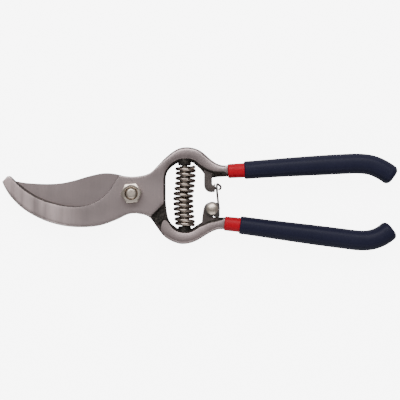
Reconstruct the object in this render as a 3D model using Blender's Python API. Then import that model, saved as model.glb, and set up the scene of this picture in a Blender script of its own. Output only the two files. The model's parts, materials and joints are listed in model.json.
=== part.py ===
# Forged bypass pruning shears, closed and latched, lying flat.
# X runs from the pivot to the handle ends, Y points to the upper handle, Z is the pivot axis.
# The origin is on the pivot axis, at the underside of the bolt head.
# Lengths are in millimetres until a mesh is made, where MM turns them into metres.

import math

import bmesh
import bpy
import numpy as np

MM = 0.001

# Layers along the pivot axis
SHEAR_Z = 7.5            # plane where the two jaws slide on each other
FORGING_HALF = 4.2       # half thickness of both forgings
PLATE_GAP = 0.15         # each plate stands this far off the shear plane
EDGE_ROUND = 0.7         # rounded edge round the forgings
EDGE_STEP = 0.1
DRAFT = 1.5              # how far the forged inner walls stand out at mid height
DRAFT_RIB_HALF = 0.6     # half height of the part that stands out furthest
UPPER_OPENING = (29.0, 4.0)      # the walls that face these points are drafted
LOWER_OPENING = (29.0, -6.0)
FRONT_RELIEF_R = 21.6    # the blade arm's front half is cut away within this radius
REAR_RELIEF_R = 21.0     # the hook arm's rear half is cut away within this radius
POINT_SPACING = 2.2
BACK_SPACING = 3.0
SAME_POINT = 0.05        # points closer than this are one point
FAR_LEFT = -90.0         # beyond the jaws' tips
THROUGH = (-5.0, 25.0)   # below and above the whole tool
GRIND = 2.6              # width of the flat ground behind the blade's edge
GRIND_TIP_RUN = (-64.0, -50.0)   # the ground flat grows to full width between these X
GRIND_HEEL_RUN = (10.0, 20.0)    # and fades out between these, measured towards the pivot

# Pivot
BOLT_R = 3.0
BORE_R = 3.3
BOLT_HEAD_R = 5.6
BOLT_HEAD_HIGH = 3.0
BOLT_LENGTH = 17.2
NUT_ACROSS_FLATS = 10.0
NUT_HIGH = 4.4
BOLT_CHAMFER = 0.5
NUT_CHAMFER_HIGH = 1.1   # height of the chamfer round the nut's top
CLEARANCE = 0.3

# Spring and its pegs
SPRING_AXIS_X = 28.7
SPRING_TOP_Y = 15.3
SPRING_LOW_Y = -18.0
SPRING_MEAN_R = 4.75
SPRING_WIRE_R = 0.72
SPRING_TURNS = 12
SPRING_BOW = 1.1         # the coil bows this far towards the pivot at mid length
SPRING_SHIFT = 0.4       # its two ends stand this far from the pegs' axis
SPRING_END_GAP = 0.25    # gap between the last two turns at each end
SPRING_STEPS = 11        # points round each turn
SPRING_SIDES = 6
PEG_R = 2.65
PEG_CHAMFER = 0.8
PEG_SPIGOT_R = 1.5
PEG_HOLE_R = 1.8
BOSS_R = 3.6
UPPER_BAR_Y = 20.5       # middle of the loops' bars behind the bosses
LOWER_BAR_Y = -23.0
UPPER_BOSS_Y = 15.2
LOWER_BOSS_Y = -17.8
UPPER_PEG_END = 0.4
LOWER_PEG_END = -2.0
PEG_INTO_BOSS = 2.0
PEG_HOLE_DEEPER = 0.5

# Catch
RIVET = np.array([43.7, -8.4])
RIVET_R = 1.5
RIVET_HOLE_R = 1.8
RIVET_HEAD_R = 3.2
RIVET_HEAD_HIGH = 1.3
CATCH_LOW_HALF = 3.8     # half width of the catch at its ears
CATCH_TOP_HALF = 3.0
CATCH_TAPER_RUN = (-7.0, -2.0)   # the catch narrows between these Y
SHEET = 0.75
CURL_CENTRE = np.array([47.75, 3.3])
CURL_REACH = np.array([0.62, 1.0])
LUG_HALF = 2.5
LUG_R = 2.7
EAR_GAP_HALF = 2.8
EAR_R = 3.9
KEEPER_HALF = 2.4
KEEPER_BEND = (43.2, 4.4)
KEEPER_BEND_R = 3.85
TOOTH_HALF = 1.3
WINDOW_HALF = 1.7

# Grips
GRIP_HALF_HIGH = 7.5
GRIP_HALF_WIDE = 4.75
GRIP_SWELL = 0.6         # how much wider the grip is from its middle on
GRIP_SWELL_RUN = (8.0, 60.0)     # distances along the handle where the swell grows
GRIP_END_ROUND = 2.6
GRIP_WALL = 1.0
UNDERCOAT_HALF_HIGH = 6.2
UNDERCOAT_HALF_WIDE = 3.75
UNDERCOAT_SWELL = 0.25
UNDERCOAT_SWELL_RUN = (2.0, 14.0)
COAT_INNER_ROUND = 2.2   # rounding of a coat's inside at its closed end
UNDERCOAT_WALL = 0.7
UNDERCOAT_SHORTER = 2.6  # the undercoat ends this far inside the grip's end
RED_BAND = {"upper": 9.0, "lower": 8.4}  # length of undercoat left bare
TANG_SHORTER = 5.2
TANG_HALF_HIGH = 5.2
TANG_NECK_HALF_HIGH = 4.0
TANG_HALF_WIDE = 2.9
TANG_LEAD = 4.0          # length of tang inside the loop's bar
TANG_LEAD_SLIM = 0.7     # its size there, against the tang's own
TANG_DEEPENS_RUN = (1.0, 8.0)
TANG_END_ROUND = 2.0
END_NARROWING = 0.45     # share of its width that a handle's last ring loses
END_FLATTENING = 0.3
RING_SPACING = 6.0
SECTION_SIDES = 14
SECTION_POWER = 2.6      # 2 is an ellipse, larger is squarer

# Handle centre lines, from the loop to the bent end
UPPER_LINE = [
    (52.2, 12.1), (62.7, 12.7), (85.5, 14.3), (113.3, 15.9),
    (124.0, 16.2), (131.0, 15.2), (136.8, 12.6), (141.6, 9.4),
]
LOWER_LINE = [
    (50.4, -16.35), (59.4, -17.3), (74.1, -19.3), (91.5, -21.6), (113.3, -24.4),
    (123.5, -25.6), (130.3, -25.3), (136.0, -23.2), (140.8, -19.7),
]


# ---- outlines ----

def flowing(points, spacing=POINT_SPACING):
    """Points about a spacing apart along a smooth curve through the given points."""
    given = [np.array(p, float) for p in points]
    given = [2 * given[0] - given[1]] + given + [2 * given[-1] - given[-2]]
    result = []
    for a, b, c, d in zip(given, given[1:], given[2:], given[3:]):
        count = max(1, round(float(np.linalg.norm(c - b)) / spacing))
        for k in range(count):
            t = k / count
            along = (c - a) * t + (2 * a - 5 * b + 4 * c - d) * t ** 2 + (3 * b - a - 3 * c + d) * t ** 3
            result.append(b + along / 2)
    result.append(given[-2])
    return result


def join_runs(*runs):
    """One closed outline from runs that start where the one before ends."""
    outline = []
    for run in runs:
        for point in run:
            point = np.array(point, float)
            if not outline or np.linalg.norm(point - outline[-1]) > SAME_POINT:
                outline.append(point)
    if np.linalg.norm(outline[0] - outline[-1]) < SAME_POINT:
        outline.pop()
    return np.array(outline)


def outward_normals(outline):
    along = np.roll(outline, -1, axis=0) - np.roll(outline, 1, axis=0)
    along /= np.linalg.norm(along, axis=1)[:, None]
    return np.column_stack([along[:, 1], -along[:, 0]])


def circle(centre, radius, count, start=0.0, turn=2 * math.pi):
    """Points round an arc, without the last one when the arc is a whole circle."""
    last = count if abs(turn) >= 2 * math.pi - 1e-6 else count - 1
    angles = [start + turn * k / last for k in range(count)]
    return [np.array(centre) + radius * np.array([math.cos(a), math.sin(a)]) for a in angles]


def smoothstep(value, low, high):
    t = np.clip((value - low) / (high - low), 0.0, 1.0)
    return t * t * (3 - 2 * t)


# ---- meshes and objects ----

def material(name, colour, metallic, roughness):
    made = bpy.data.materials.new(name)
    made.use_nodes = True
    shader = made.node_tree.nodes["Principled BSDF"]
    shader.inputs["Base Color"].default_value = (*colour, 1.0)
    shader.inputs["Metallic"].default_value = metallic
    shader.inputs["Roughness"].default_value = roughness
    made.diffuse_color = (*colour, 1.0)
    return made


def loft(name, rings):
    """A closed body from rings of equal size, each a list of points in millimetres."""
    mesh = bpy.data.meshes.new(name)
    shape = bmesh.new()
    made = [[shape.verts.new([c * MM for c in point]) for point in ring] for ring in rings]
    count = len(made[0])
    for low, high in zip(made, made[1:]):
        for k in range(count):
            after = (k + 1) % count
            shape.faces.new((low[k], low[after], high[after], high[k]))
    shape.faces.new(reversed(made[0]))
    shape.faces.new(made[-1])
    bmesh.ops.recalc_face_normals(shape, faces=shape.faces)
    if shape.calc_volume(signed=True) < 0:
        bmesh.ops.reverse_faces(shape, faces=shape.faces)
    shape.to_mesh(mesh)
    shape.free()
    body = bpy.data.objects.new(name, mesh)
    bpy.context.scene.collection.objects.link(body)
    return body


def prism(name, outline, low, high):
    """An outline in the XY plane, extruded from low to high."""
    return loft(name, [[(x, y, z) for x, y in outline] for z in (low, high)])


def turned(name, profile, centre, axis="Z", sides=24):
    """A body turned round an axis, from a profile of (height, radius)."""
    rings = []
    for height, radius in profile:
        ring = []
        for k in range(sides):
            a = 2 * math.pi * (k + 0.5) / sides
            across, up = radius * math.cos(a), radius * math.sin(a)
            if axis == "Z":
                ring.append((centre[0] + across, centre[1] + up, height))
            else:
                ring.append((centre[0] + across, height, centre[1] + up))
        rings.append(ring)
    return loft(name, rings)


def operand(body):
    """Marks a body as one that only shapes another."""
    body.hide_render = True
    body.display_type = "WIRE"
    return body


def shape_with(body, other, operation):
    step = body.modifiers.new(f"{operation.lower()} {other.name}", "BOOLEAN")
    step.operation = operation
    step.solver = "EXACT"
    step.object = operand(other)


def finish_node(body, look, origin=(0.0, 0.0), parent=None, sharp=35.0):
    """Gives a body its material, its origin on a joint axis and its parent."""
    body.data.materials.append(look)
    shift = np.array([origin[0] * MM, origin[1] * MM, 0.0])
    for vertex in body.data.vertices:
        vertex.co = np.array(vertex.co) - shift
    body.location = shift
    body.data.shade_smooth()
    body.data.set_sharp_from_angle(angle=math.radians(sharp))
    if parent:
        body.parent = parent
        body.location = shift - np.array(parent.location)


def empty(name, x, y, z):
    made = bpy.data.objects.new(name, None)
    made.location = (x * MM, y * MM, z * MM)
    made.empty_display_size = 0.01
    bpy.context.scene.collection.objects.link(made)
    return made


# ---- forgings ----

def forging(name, outline, draft, grind):
    """A forged slab whose edges are rounded and whose walls stand out at mid height.

    draft gives each point's reach at mid height, grind how far its rear edge is ground back.
    """
    normals = outward_normals(outline)
    edge = FORGING_HALF - EDGE_ROUND
    levels = [
        (-FORGING_HALF, -EDGE_ROUND - grind),
        (-edge, -EDGE_STEP - grind),
        (-DRAFT_RIB_HALF, draft),
        (DRAFT_RIB_HALF, draft),
        (edge, np.full(len(outline), -EDGE_STEP)),
        (FORGING_HALF, np.full(len(outline), -EDGE_ROUND)),
    ]
    rings = []
    for height, reach in levels:
        flat = outline + normals * reach[:, None]
        rings.append([(x, y, SHEAR_Z + height) for x, y in flat])
    return loft(name, rings)


def inner_draft(outline, centre):
    """Draft on the walls that face the opening between the loops."""
    to_centre = np.array(centre) - outline
    to_centre /= np.linalg.norm(to_centre, axis=1)[:, None]
    facing = np.sum(outward_normals(outline) * to_centre, axis=1)
    return DRAFT * smoothstep(facing, 0.2, 0.8) * smoothstep(outline[:, 0], 18.0, 23.0)


def relief(name, radius, low, high):
    """The space that the other arm's plate turns in: everything left of the pivot, and a disc."""
    outline = circle((0.0, 0.0), radius, 25, -math.pi / 2, math.pi)
    outline += [np.array([FAR_LEFT, radius]), np.array([FAR_LEFT, -radius])]
    return prism(name, outline, low, high)


def section(x, y, angle, half_wide, half_high):
    """A rounded-square ring across a handle, whose centre line points along angle."""
    ring = []
    for k in range(SECTION_SIDES):
        a = 2 * math.pi * (k + 0.5) / SECTION_SIDES
        across = math.copysign(abs(math.cos(a)) ** (2 / SECTION_POWER), math.cos(a)) * half_wide
        up = math.copysign(abs(math.sin(a)) ** (2 / SECTION_POWER), math.sin(a)) * half_high
        ring.append((x - math.sin(angle) * across, y + math.cos(angle) * across, SHEAR_Z + up))
    return ring


def handle_rings(line, half_wide, half_high, start, cut_back, round_end):
    """Rings along a handle. start and cut_back trim its two ends, round_end rounds the last."""
    path = np.array(flowing(line, RING_SPACING))
    length = np.concatenate([[0.0], np.cumsum(np.linalg.norm(np.diff(path, axis=0), axis=1))])
    last = length[-1] - cut_back
    stops = [s for s in length if start + 1.5 < s < last - round_end - 1.0]
    stops = [start] + stops + [last - round_end * (1 - math.sin(k * math.pi / 6)) for k in range(3)]
    stops.append(last)
    rings = []
    for s in stops:
        x = float(np.interp(s, length, path[:, 0]))
        y = float(np.interp(s, length, path[:, 1]))
        ahead = min(s + 1.0, length[-1])
        back = max(s - 1.0, 0.0)
        dx = np.interp(ahead, length, path[:, 0]) - np.interp(back, length, path[:, 0])
        dy = np.interp(ahead, length, path[:, 1]) - np.interp(back, length, path[:, 1])
        part = max(0.0, (s - (last - round_end)) / round_end)
        wide = half_wide(s) * (1 - END_NARROWING * part ** 2)
        high = half_high(s) * (1 - END_FLATTENING * part ** 2)
        rings.append(section(x, y, math.atan2(dy, dx), wide, high))
    return rings


def tang_half_high(s):
    rise = TANG_HALF_HIGH - TANG_NECK_HALF_HIGH
    return TANG_NECK_HALF_HIGH + rise * float(smoothstep(s, *TANG_DEEPENS_RUN))


def tang(name, line):
    """The steel bar inside a grip, as deep as the loop where it leaves it and deeper further on."""
    rings = handle_rings(line, lambda s: TANG_HALF_WIDE, tang_half_high, 0.0, TANG_SHORTER, TANG_END_ROUND)
    start = np.array(line[0])
    ahead = np.array(line[1]) - start
    lead = start - TANG_LEAD * ahead / np.linalg.norm(ahead)
    wide, high = TANG_LEAD_SLIM * TANG_HALF_WIDE, TANG_LEAD_SLIM * TANG_NECK_HALF_HIGH
    root = section(*lead, math.atan2(ahead[1], ahead[0]), wide, high)
    return loft(name, [root] + rings)


def coat(name, line, outer, inner, high, thick, start, cut_back):
    """A dipped coat: an open-mouthed sleeve with a closed, rounded end."""
    outside = handle_rings(line, outer, lambda s: high, start, cut_back, GRIP_END_ROUND)
    inner_high = high - thick
    inside = handle_rings(line, inner, lambda s: inner_high, start, cut_back + thick, COAT_INNER_ROUND)
    return loft(name, inside[::-1] + outside)


def hook_outline():
    """Round the hook arm, from the jaw's tip along its lower edge to the loop and back."""
    lower = flowing([
        (-70.2, 6.3), (-68.4, 2.4), (-64.9, -2.7), (-58.1, -9.0), (-48.0, -14.5), (-37.8, -17.5),
        (-27.6, -18.4), (-17.5, -17.5), (-8.5, -14.4), (-2.4, -11.5), (2.2, -10.9), (6.8, -11.6),
        (10.4, -12.5),
    ])
    plate = [(10.4, -12.5), (14.0, -9.1), (17.6, -5.7), (17.6, -2.2), (17.6, 1.2), (17.6, 4.6)]
    inner = flowing([
        (17.6, 8.0), (18.1, 11.0), (19.6, 13.8), (22.0, 16.5), (25.4, 18.4), (29.4, 19.0),
        (33.6, 18.2), (37.2, 15.4), (40.9, 11.6), (44.9, 9.5), (48.5, 9.0), (51.9, 9.0),
    ])
    outer = flowing([
        (51.9, 15.2), (49.0, 15.3), (45.5, 16.6), (42.1, 19.1), (38.2, 22.5), (34.4, 24.4),
        (29.9, 25.1), (25.6, 24.4), (21.6, 22.1), (17.2, 18.3), (13.8, 14.7), (10.5, 11.5),
        (6.7, 9.9), (1.0, 9.1), (-4.0, 9.4), (-7.0, 9.9),
    ])
    edge = flowing([
        (-7.0, 9.9), (-9.4, 5.5), (-11.6, 2.0), (-14.4, -1.2), (-18.2, -4.0), (-23.0, -6.3), (-29.0, -7.4),
        (-35.6, -7.2), (-42.5, -5.8), (-49.0, -3.7), (-54.5, -0.9), (-60.0, 3.0), (-63.5, 6.5),
        (-66.5, 9.5),
    ])
    return join_runs(lower, plate, inner, outer, edge, [(-67.5, 9.3)])


def blade_outline():
    """Round the blade arm, from the blade's tip along its edge to the loop and back."""
    edge = flowing([
        (-65.8, 6.2), (-62.5, 2.3), (-57.0, -2.6), (-49.0, -7.0), (-40.0, -9.6), (-30.0, -10.4),
        (-20.0, -9.6), (-12.0, -8.4), (-5.0, -9.2), (1.5, -10.7), (6.5, -11.6),
    ])
    outer = flowing([
        (6.5, -11.6), (8.9, -12.6), (10.7, -14.2), (13.8, -18.5), (17.0, -22.7), (20.6, -25.4),
        (25.2, -27.2), (28.4, -27.5), (31.7, -27.0), (35.0, -25.8), (38.2, -24.0), (41.5, -21.9),
        (44.7, -20.3), (47.5, -19.5),
        (49.8, -19.4),
    ])
    inner = flowing([
        (50.4, -13.4), (48.5, -13.9), (45.5, -14.5), (41.6, -15.5), (37.1, -18.1), (32.7, -20.8),
        (28.8, -21.4),
        (24.6, -20.6), (21.4, -17.9), (19.6, -14.0), (18.8, -9.0), (18.4, -4.0), (18.0, 1.0), (17.4, 5.0),
    ])
    back = flowing([
        (11.0, 11.0), (7.0, 9.2), (1.0, 8.6), (-4.0, 9.4), (-8.5, 10.5), (-13.0, 11.0), (-17.5, 10.7),
        (-24.3, 9.1), (-31.0, 7.1), (-38.0, 5.6), (-45.0, 5.1), (-52.0, 5.3), (-58.5, 5.8), (-64.5, 6.9),
    ], BACK_SPACING)
    return join_runs(edge, outer, inner, back)


def keeper():
    """The J that the catch holds: a stem off the upper arm, a foot, and a tooth for the window."""
    stem = [(39.3, 14.5), (39.3, 5.0)] + circle(KEEPER_BEND, KEEPER_BEND_R, 6, math.pi * 1.02, math.pi * 0.46)
    foot = [(45.2, 0.75), (45.3, 2.5), (45.35, 5.3), (44.7, 4.6), (44.0, 4.5), (43.7, 5.0), (43.7, 12.5)]
    body = prism("keeper", join_runs(stem, foot), SHEAR_Z - KEEPER_HALF, SHEAR_Z + KEEPER_HALF)
    point = [(44.4, 2.1), (46.4, 2.1), (46.4, 3.6), (44.4, 3.6)]
    shape_with(body, prism("keeper_tooth", point, SHEAR_Z - TOOTH_HALF, SHEAR_Z + TOOTH_HALF), "UNION")
    return body


def lug():
    """The ear on the lower arm that the catch turns on: round the rivet, with a toe below it."""
    left = [(37.9, -16.8), (38.5, -11.8), (38.9, -9.1), (39.4, -7.2), (40.3, -5.8)]
    top = circle(RIVET, LUG_R, 9, math.radians(115), -math.radians(180))
    toe = [(44.3, -11.4), (44.4, -13.0), (46.0, -12.75), (47.5, -12.4), (47.7, -13.6), (47.9, -15.2)]
    outline = join_runs(left, [(41.4, -5.1)], top, toe)[::-1]
    return prism("lug", outline, SHEAR_Z - LUG_HALF, SHEAR_Z + LUG_HALF)


def bore(name, centre, radius):
    return prism(name, circle(centre, radius, 24), *THROUGH)


def boss(name, arm_y, seat_y):
    profile = [(arm_y, BOSS_R), (seat_y, BOSS_R)]
    return turned(name, profile, (SPRING_AXIS_X, SHEAR_Z), "Y", 20)


def peg_hole(name, seat_y, way):
    profile = [(seat_y - way, PEG_HOLE_R), (seat_y + way * (PEG_INTO_BOSS + PEG_HOLE_DEEPER), PEG_HOLE_R)]
    return turned(name, profile, (SPRING_AXIS_X, SHEAR_Z), "Y", 16)


def make_hook_arm(look):
    outline = hook_outline()
    draft = inner_draft(outline, UPPER_OPENING)
    arm = forging("hook_arm", outline, draft, np.zeros(len(outline)))
    shape_with(arm, relief("rear_relief", REAR_RELIEF_R, THROUGH[0], SHEAR_Z + PLATE_GAP), "DIFFERENCE")
    shape_with(arm, tang("upper_tang", UPPER_LINE), "UNION")
    shape_with(arm, keeper(), "UNION")
    shape_with(arm, boss("upper_boss", UPPER_BAR_Y, UPPER_BOSS_Y), "UNION")
    shape_with(arm, peg_hole("upper_peg_hole", UPPER_BOSS_Y, 1), "DIFFERENCE")
    shape_with(arm, bore("hook_bore", (0.0, 0.0), BORE_R), "DIFFERENCE")
    finish_node(arm, look, (0.0, 0.0), bpy.data.objects["hook_arm_axis"])


def make_blade_arm(look):
    outline = blade_outline()
    draft = inner_draft(outline, LOWER_OPENING)
    facing_down = smoothstep(-outward_normals(outline)[:, 1], 0.1, 0.7)
    from_tip = smoothstep(outline[:, 0], *GRIND_TIP_RUN)
    to_heel = smoothstep(-outline[:, 0], *GRIND_HEEL_RUN)
    grind = GRIND * facing_down * from_tip * to_heel
    arm = forging("blade_arm", outline, draft, grind)
    shape_with(arm, relief("front_relief", FRONT_RELIEF_R, SHEAR_Z - PLATE_GAP, THROUGH[1]), "DIFFERENCE")
    shape_with(arm, tang("lower_tang", LOWER_LINE), "UNION")
    shape_with(arm, lug(), "UNION")
    shape_with(arm, boss("lower_boss", LOWER_BAR_Y, LOWER_BOSS_Y), "UNION")
    shape_with(arm, peg_hole("lower_peg_hole", LOWER_BOSS_Y, -1), "DIFFERENCE")
    shape_with(arm, bore("blade_bore", (0.0, 0.0), BORE_R), "DIFFERENCE")
    shape_with(arm, bore("lug_bore", RIVET, RIVET_HOLE_R), "DIFFERENCE")
    finish_node(arm, look)


# ---- pivot hardware ----

def hexagon(across_flats):
    return [np.array(p) for p in circle((0.0, 0.0), across_flats / math.sqrt(3), 6)]


def make_pivot_bolt(look):
    chamfer = BOLT_CHAMFER
    head = BOLT_HEAD_R
    profile = [(0.0, head - chamfer), (chamfer, head), (BOLT_HEAD_HIGH, head), (BOLT_HEAD_HIGH, BOLT_R)]
    profile += [(BOLT_LENGTH - chamfer, BOLT_R), (BOLT_LENGTH, BOLT_R - chamfer)]
    finish_node(turned("pivot_bolt", profile, (0.0, 0.0)), look)


def make_pivot_nut(look):
    low = SHEAR_Z + FORGING_HALF + CLEARANCE
    nut = prism("pivot_nut", hexagon(NUT_ACROSS_FLATS), low, low + NUT_HIGH)
    corner = NUT_ACROSS_FLATS / math.sqrt(3)
    top = low + NUT_HIGH
    crown = [(low - 1.0, corner + 1.6), (top - NUT_CHAMFER_HIGH, corner + 0.3), (top + 0.5, corner - 2.0)]
    shape_with(nut, turned("nut_crown", crown, (0.0, 0.0)), "INTERSECT")
    shape_with(nut, bore("nut_bore", (0.0, 0.0), BORE_R), "DIFFERENCE")
    finish_node(nut, look, sharp=20.0)


# ---- spring and pegs ----

def spring_centre(y):
    """The coil's bowed centre line, furthest towards the pivot at mid length."""
    middle = (SPRING_TOP_Y + SPRING_LOW_Y) / 2
    part = (y - middle) / ((SPRING_TOP_Y - SPRING_LOW_Y) / 2)
    return SPRING_AXIS_X + SPRING_SHIFT - SPRING_BOW * (1 - part * part)


def make_return_spring(look):
    low = SPRING_LOW_Y + SPRING_WIRE_R
    high = SPRING_TOP_Y - SPRING_WIRE_R
    total = SPRING_TURNS * SPRING_STEPS
    closed = 2 * SPRING_WIRE_R + SPRING_END_GAP    # pitch of the last turn at each end
    open_pitch = (high - low - 2 * closed) / (SPRING_TURNS - 2)
    path = []
    for k in range(total + 1):
        turns = k / SPRING_STEPS
        rise = closed * min(turns, 1.0) + open_pitch * min(max(turns - 1.0, 0.0), SPRING_TURNS - 2)
        rise += closed * max(turns - (SPRING_TURNS - 1), 0.0)
        a = 2 * math.pi * turns
        y = low + rise
        x = spring_centre(y) + SPRING_MEAN_R * math.cos(a)
        path.append((x, y, SHEAR_Z + SPRING_MEAN_R * math.sin(a), a))
    rings = []
    for x, y, z, a in path:
        ring = []
        for side in range(SPRING_SIDES):
            b = 2 * math.pi * side / SPRING_SIDES
            out, up = SPRING_WIRE_R * math.cos(b), SPRING_WIRE_R * math.sin(b)
            ring.append((x + out * math.cos(a), y + up, z + out * math.sin(a)))
        rings.append(ring)
    finish_node(loft("return_spring", rings), look, (SPRING_AXIS_X, 0.0), sharp=80.0)


def make_peg(name, look, seat_y, end_y, parent):
    """A stud with a spigot in the arm's boss, a shoulder on the boss and a chamfered free end."""
    way = 1.0 if end_y > seat_y else -1.0
    shoulder = seat_y + way * CLEARANCE
    profile = [(seat_y - way * PEG_INTO_BOSS, PEG_SPIGOT_R), (shoulder, PEG_SPIGOT_R)]
    profile += [(shoulder, PEG_R), (end_y - way * PEG_CHAMFER, PEG_R), (end_y, PEG_R - PEG_CHAMFER)]
    peg = turned(name, profile, (SPRING_AXIS_X, SHEAR_Z), "Y", 16)
    finish_node(peg, look, (SPRING_AXIS_X, 0.0), parent)


# ---- catch ----

def strap_path():
    """The strap on edge: straight up from the rivet, over a tight fold and into a thumb curl."""
    rise = [
        (47.45, -8.7), (46.95, -4.6), (46.5, -0.4), (46.25, 3.4), (46.3, 4.5), (46.65, 5.1),
        (47.15, 4.75),
    ]
    turn = circle((0.0, 0.0), 1.0, 8, math.radians(85), -math.radians(185))
    curl = [CURL_CENTRE + CURL_REACH * p for p in turn]
    return [np.array(p) for p in rise] + curl


def make_catch_strap(look, parent):
    path = np.array(strap_path())
    along = np.gradient(path, axis=0)
    along /= np.linalg.norm(along, axis=1)[:, None]
    across = np.column_stack([along[:, 1], -along[:, 0]])
    rings = []
    for point, side in zip(path, across):
        near, far = point - side * SHEET / 2, point + side * SHEET / 2
        taper = float(smoothstep(point[1], *CATCH_TAPER_RUN))
        half = CATCH_LOW_HALF + (CATCH_TOP_HALF - CATCH_LOW_HALF) * taper
        low, high = SHEAR_Z - half, SHEAR_Z + half
        rings.append([(*near, low), (*far, low), (*far, high), (*near, high)])
    strap = loft("catch_strap", rings)
    round_side = circle(RIVET, EAR_R, 12, math.radians(60), math.radians(220))
    ears_outline = join_runs(round_side, [(46.6, -12.2), (47.85, -11.9), (47.8, -8.6), (47.3, -4.6)])
    ears = prism("ears", ears_outline, SHEAR_Z - CATCH_LOW_HALF, SHEAR_Z + CATCH_LOW_HALF)
    slot_outline = [(38.0, -14.0), (46.9, -14.0), (46.8, -8.75), (46.35, -3.0), (38.0, -3.0)]
    foot_slot = [(38.0, -14.0), (49.0, -14.0), (49.0, -8.75), (38.0, -8.75)]
    slot = prism("lug_slot", slot_outline, SHEAR_Z - EAR_GAP_HALF, SHEAR_Z + EAR_GAP_HALF)
    foot = prism("foot_slot", foot_slot, SHEAR_Z - EAR_GAP_HALF, SHEAR_Z + EAR_GAP_HALF)
    opening = [(45.3, 0.9), (46.85, 0.9), (46.85, 3.9), (45.3, 3.9)]
    window = prism("window", opening, SHEAR_Z - WINDOW_HALF, SHEAR_Z + WINDOW_HALF)
    shape_with(ears, slot, "DIFFERENCE")
    shape_with(ears, foot, "DIFFERENCE")
    shape_with(ears, bore("ear_bore", RIVET, RIVET_HOLE_R), "DIFFERENCE")
    shape_with(strap, ears, "UNION")
    shape_with(strap, window, "DIFFERENCE")
    finish_node(strap, look, RIVET, parent)


def make_catch_rivet(look):
    half = CATCH_LOW_HALF + CLEARANCE
    dome = [(math.sin(k * math.pi / 8), math.cos(k * math.pi / 8)) for k in range(4)]
    head = [(half + RIVET_HEAD_HIGH * up, RIVET_HEAD_R * wide) for up, wide in dome]
    upper = [(SHEAR_Z + z, r) for z, r in head]
    lower = [(SHEAR_Z - z, r) for z, r in reversed(head)]
    shank = [(SHEAR_Z - half, RIVET_R), (SHEAR_Z + half, RIVET_R)]
    finish_node(turned("catch_rivet", lower + shank + upper, RIVET, "Z", 20), look, RIVET, sharp=50.0)


# ---- grips ----

def undercoat_outer(s):
    return UNDERCOAT_HALF_WIDE + UNDERCOAT_SWELL * float(smoothstep(s, *UNDERCOAT_SWELL_RUN))


def undercoat_inner(s):
    return TANG_HALF_WIDE + CLEARANCE


def grip_inner(s):
    return undercoat_outer(s) + CLEARANCE


def grip_outer(s):
    return GRIP_HALF_WIDE + GRIP_SWELL * float(smoothstep(s, *GRIP_SWELL_RUN))


def make_grip(side, line, red, navy, parent):
    first = coat(f"{side}_grip_undercoat", line, undercoat_outer, undercoat_inner,
                 UNDERCOAT_HALF_HIGH, UNDERCOAT_WALL, 0.0, UNDERCOAT_SHORTER)
    finish_node(first, red, (0.0, 0.0), parent, 50.0)
    start = RED_BAND[side]
    second = coat(f"{side}_grip", line, grip_outer, grip_inner, GRIP_HALF_HIGH, GRIP_WALL, start, 0.0)
    finish_node(second, navy, (0.0, 0.0), parent, 50.0)


# ---- the whole tool ----

for old in list(bpy.data.objects):
    bpy.data.objects.remove(old, do_unlink=True)

forged = material("ground steel", (0.31, 0.28, 0.28), 0.9, 0.42)
plated = material("zinc plate", (0.52, 0.47, 0.42), 1.0, 0.3)
spring_steel = material("spring wire", (0.25, 0.23, 0.22), 1.0, 0.28)
sheet_steel = material("sheet steel", (0.34, 0.33, 0.32), 1.0, 0.35)
red_dip = material("red vinyl", (0.58, 0.012, 0.02), 0.0, 0.45)
navy_dip = material("navy vinyl", (0.013, 0.016, 0.05), 0.0, 0.5)

hook_axis = empty("hook_arm_axis", 0.0, 0.0, SHEAR_Z)
catch_axis = empty("catch_axis", RIVET[0], RIVET[1], SHEAR_Z)
bpy.context.view_layer.update()

make_hook_arm(forged)
make_blade_arm(forged)
make_pivot_bolt(plated)
make_pivot_nut(plated)
make_return_spring(spring_steel)
make_peg("upper_spring_peg", plated, UPPER_BOSS_Y, UPPER_PEG_END, hook_axis)
make_peg("lower_spring_peg", plated, LOWER_BOSS_Y, LOWER_PEG_END, None)
make_catch_strap(sheet_steel, catch_axis)
make_catch_rivet(plated)
make_grip("upper", UPPER_LINE, red_dip, navy_dip, hook_axis)
make_grip("lower", LOWER_LINE, red_dip, navy_dip, None)
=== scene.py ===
import json
import math
import bmesh
import bpy
import numpy as np
from mathutils.geometry import delaunay_2d_cdt
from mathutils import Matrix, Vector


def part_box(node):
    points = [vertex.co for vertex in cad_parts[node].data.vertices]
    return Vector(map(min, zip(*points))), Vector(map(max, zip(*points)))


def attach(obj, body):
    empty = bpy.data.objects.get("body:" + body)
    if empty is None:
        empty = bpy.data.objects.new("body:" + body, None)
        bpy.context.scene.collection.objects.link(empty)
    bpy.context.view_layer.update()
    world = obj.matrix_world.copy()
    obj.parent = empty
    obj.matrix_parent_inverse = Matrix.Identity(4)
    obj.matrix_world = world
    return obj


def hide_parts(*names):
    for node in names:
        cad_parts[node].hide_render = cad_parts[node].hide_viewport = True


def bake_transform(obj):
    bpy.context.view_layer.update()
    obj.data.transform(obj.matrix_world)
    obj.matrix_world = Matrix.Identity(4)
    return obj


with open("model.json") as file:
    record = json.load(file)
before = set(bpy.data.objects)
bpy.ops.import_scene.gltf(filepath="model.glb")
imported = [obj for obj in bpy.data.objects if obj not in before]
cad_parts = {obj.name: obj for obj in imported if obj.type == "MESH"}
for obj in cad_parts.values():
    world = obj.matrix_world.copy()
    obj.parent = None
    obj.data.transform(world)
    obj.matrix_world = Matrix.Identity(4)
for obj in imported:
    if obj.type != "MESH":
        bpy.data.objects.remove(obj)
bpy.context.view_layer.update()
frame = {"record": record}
mm = 0.001
print("frame loaded")

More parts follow.
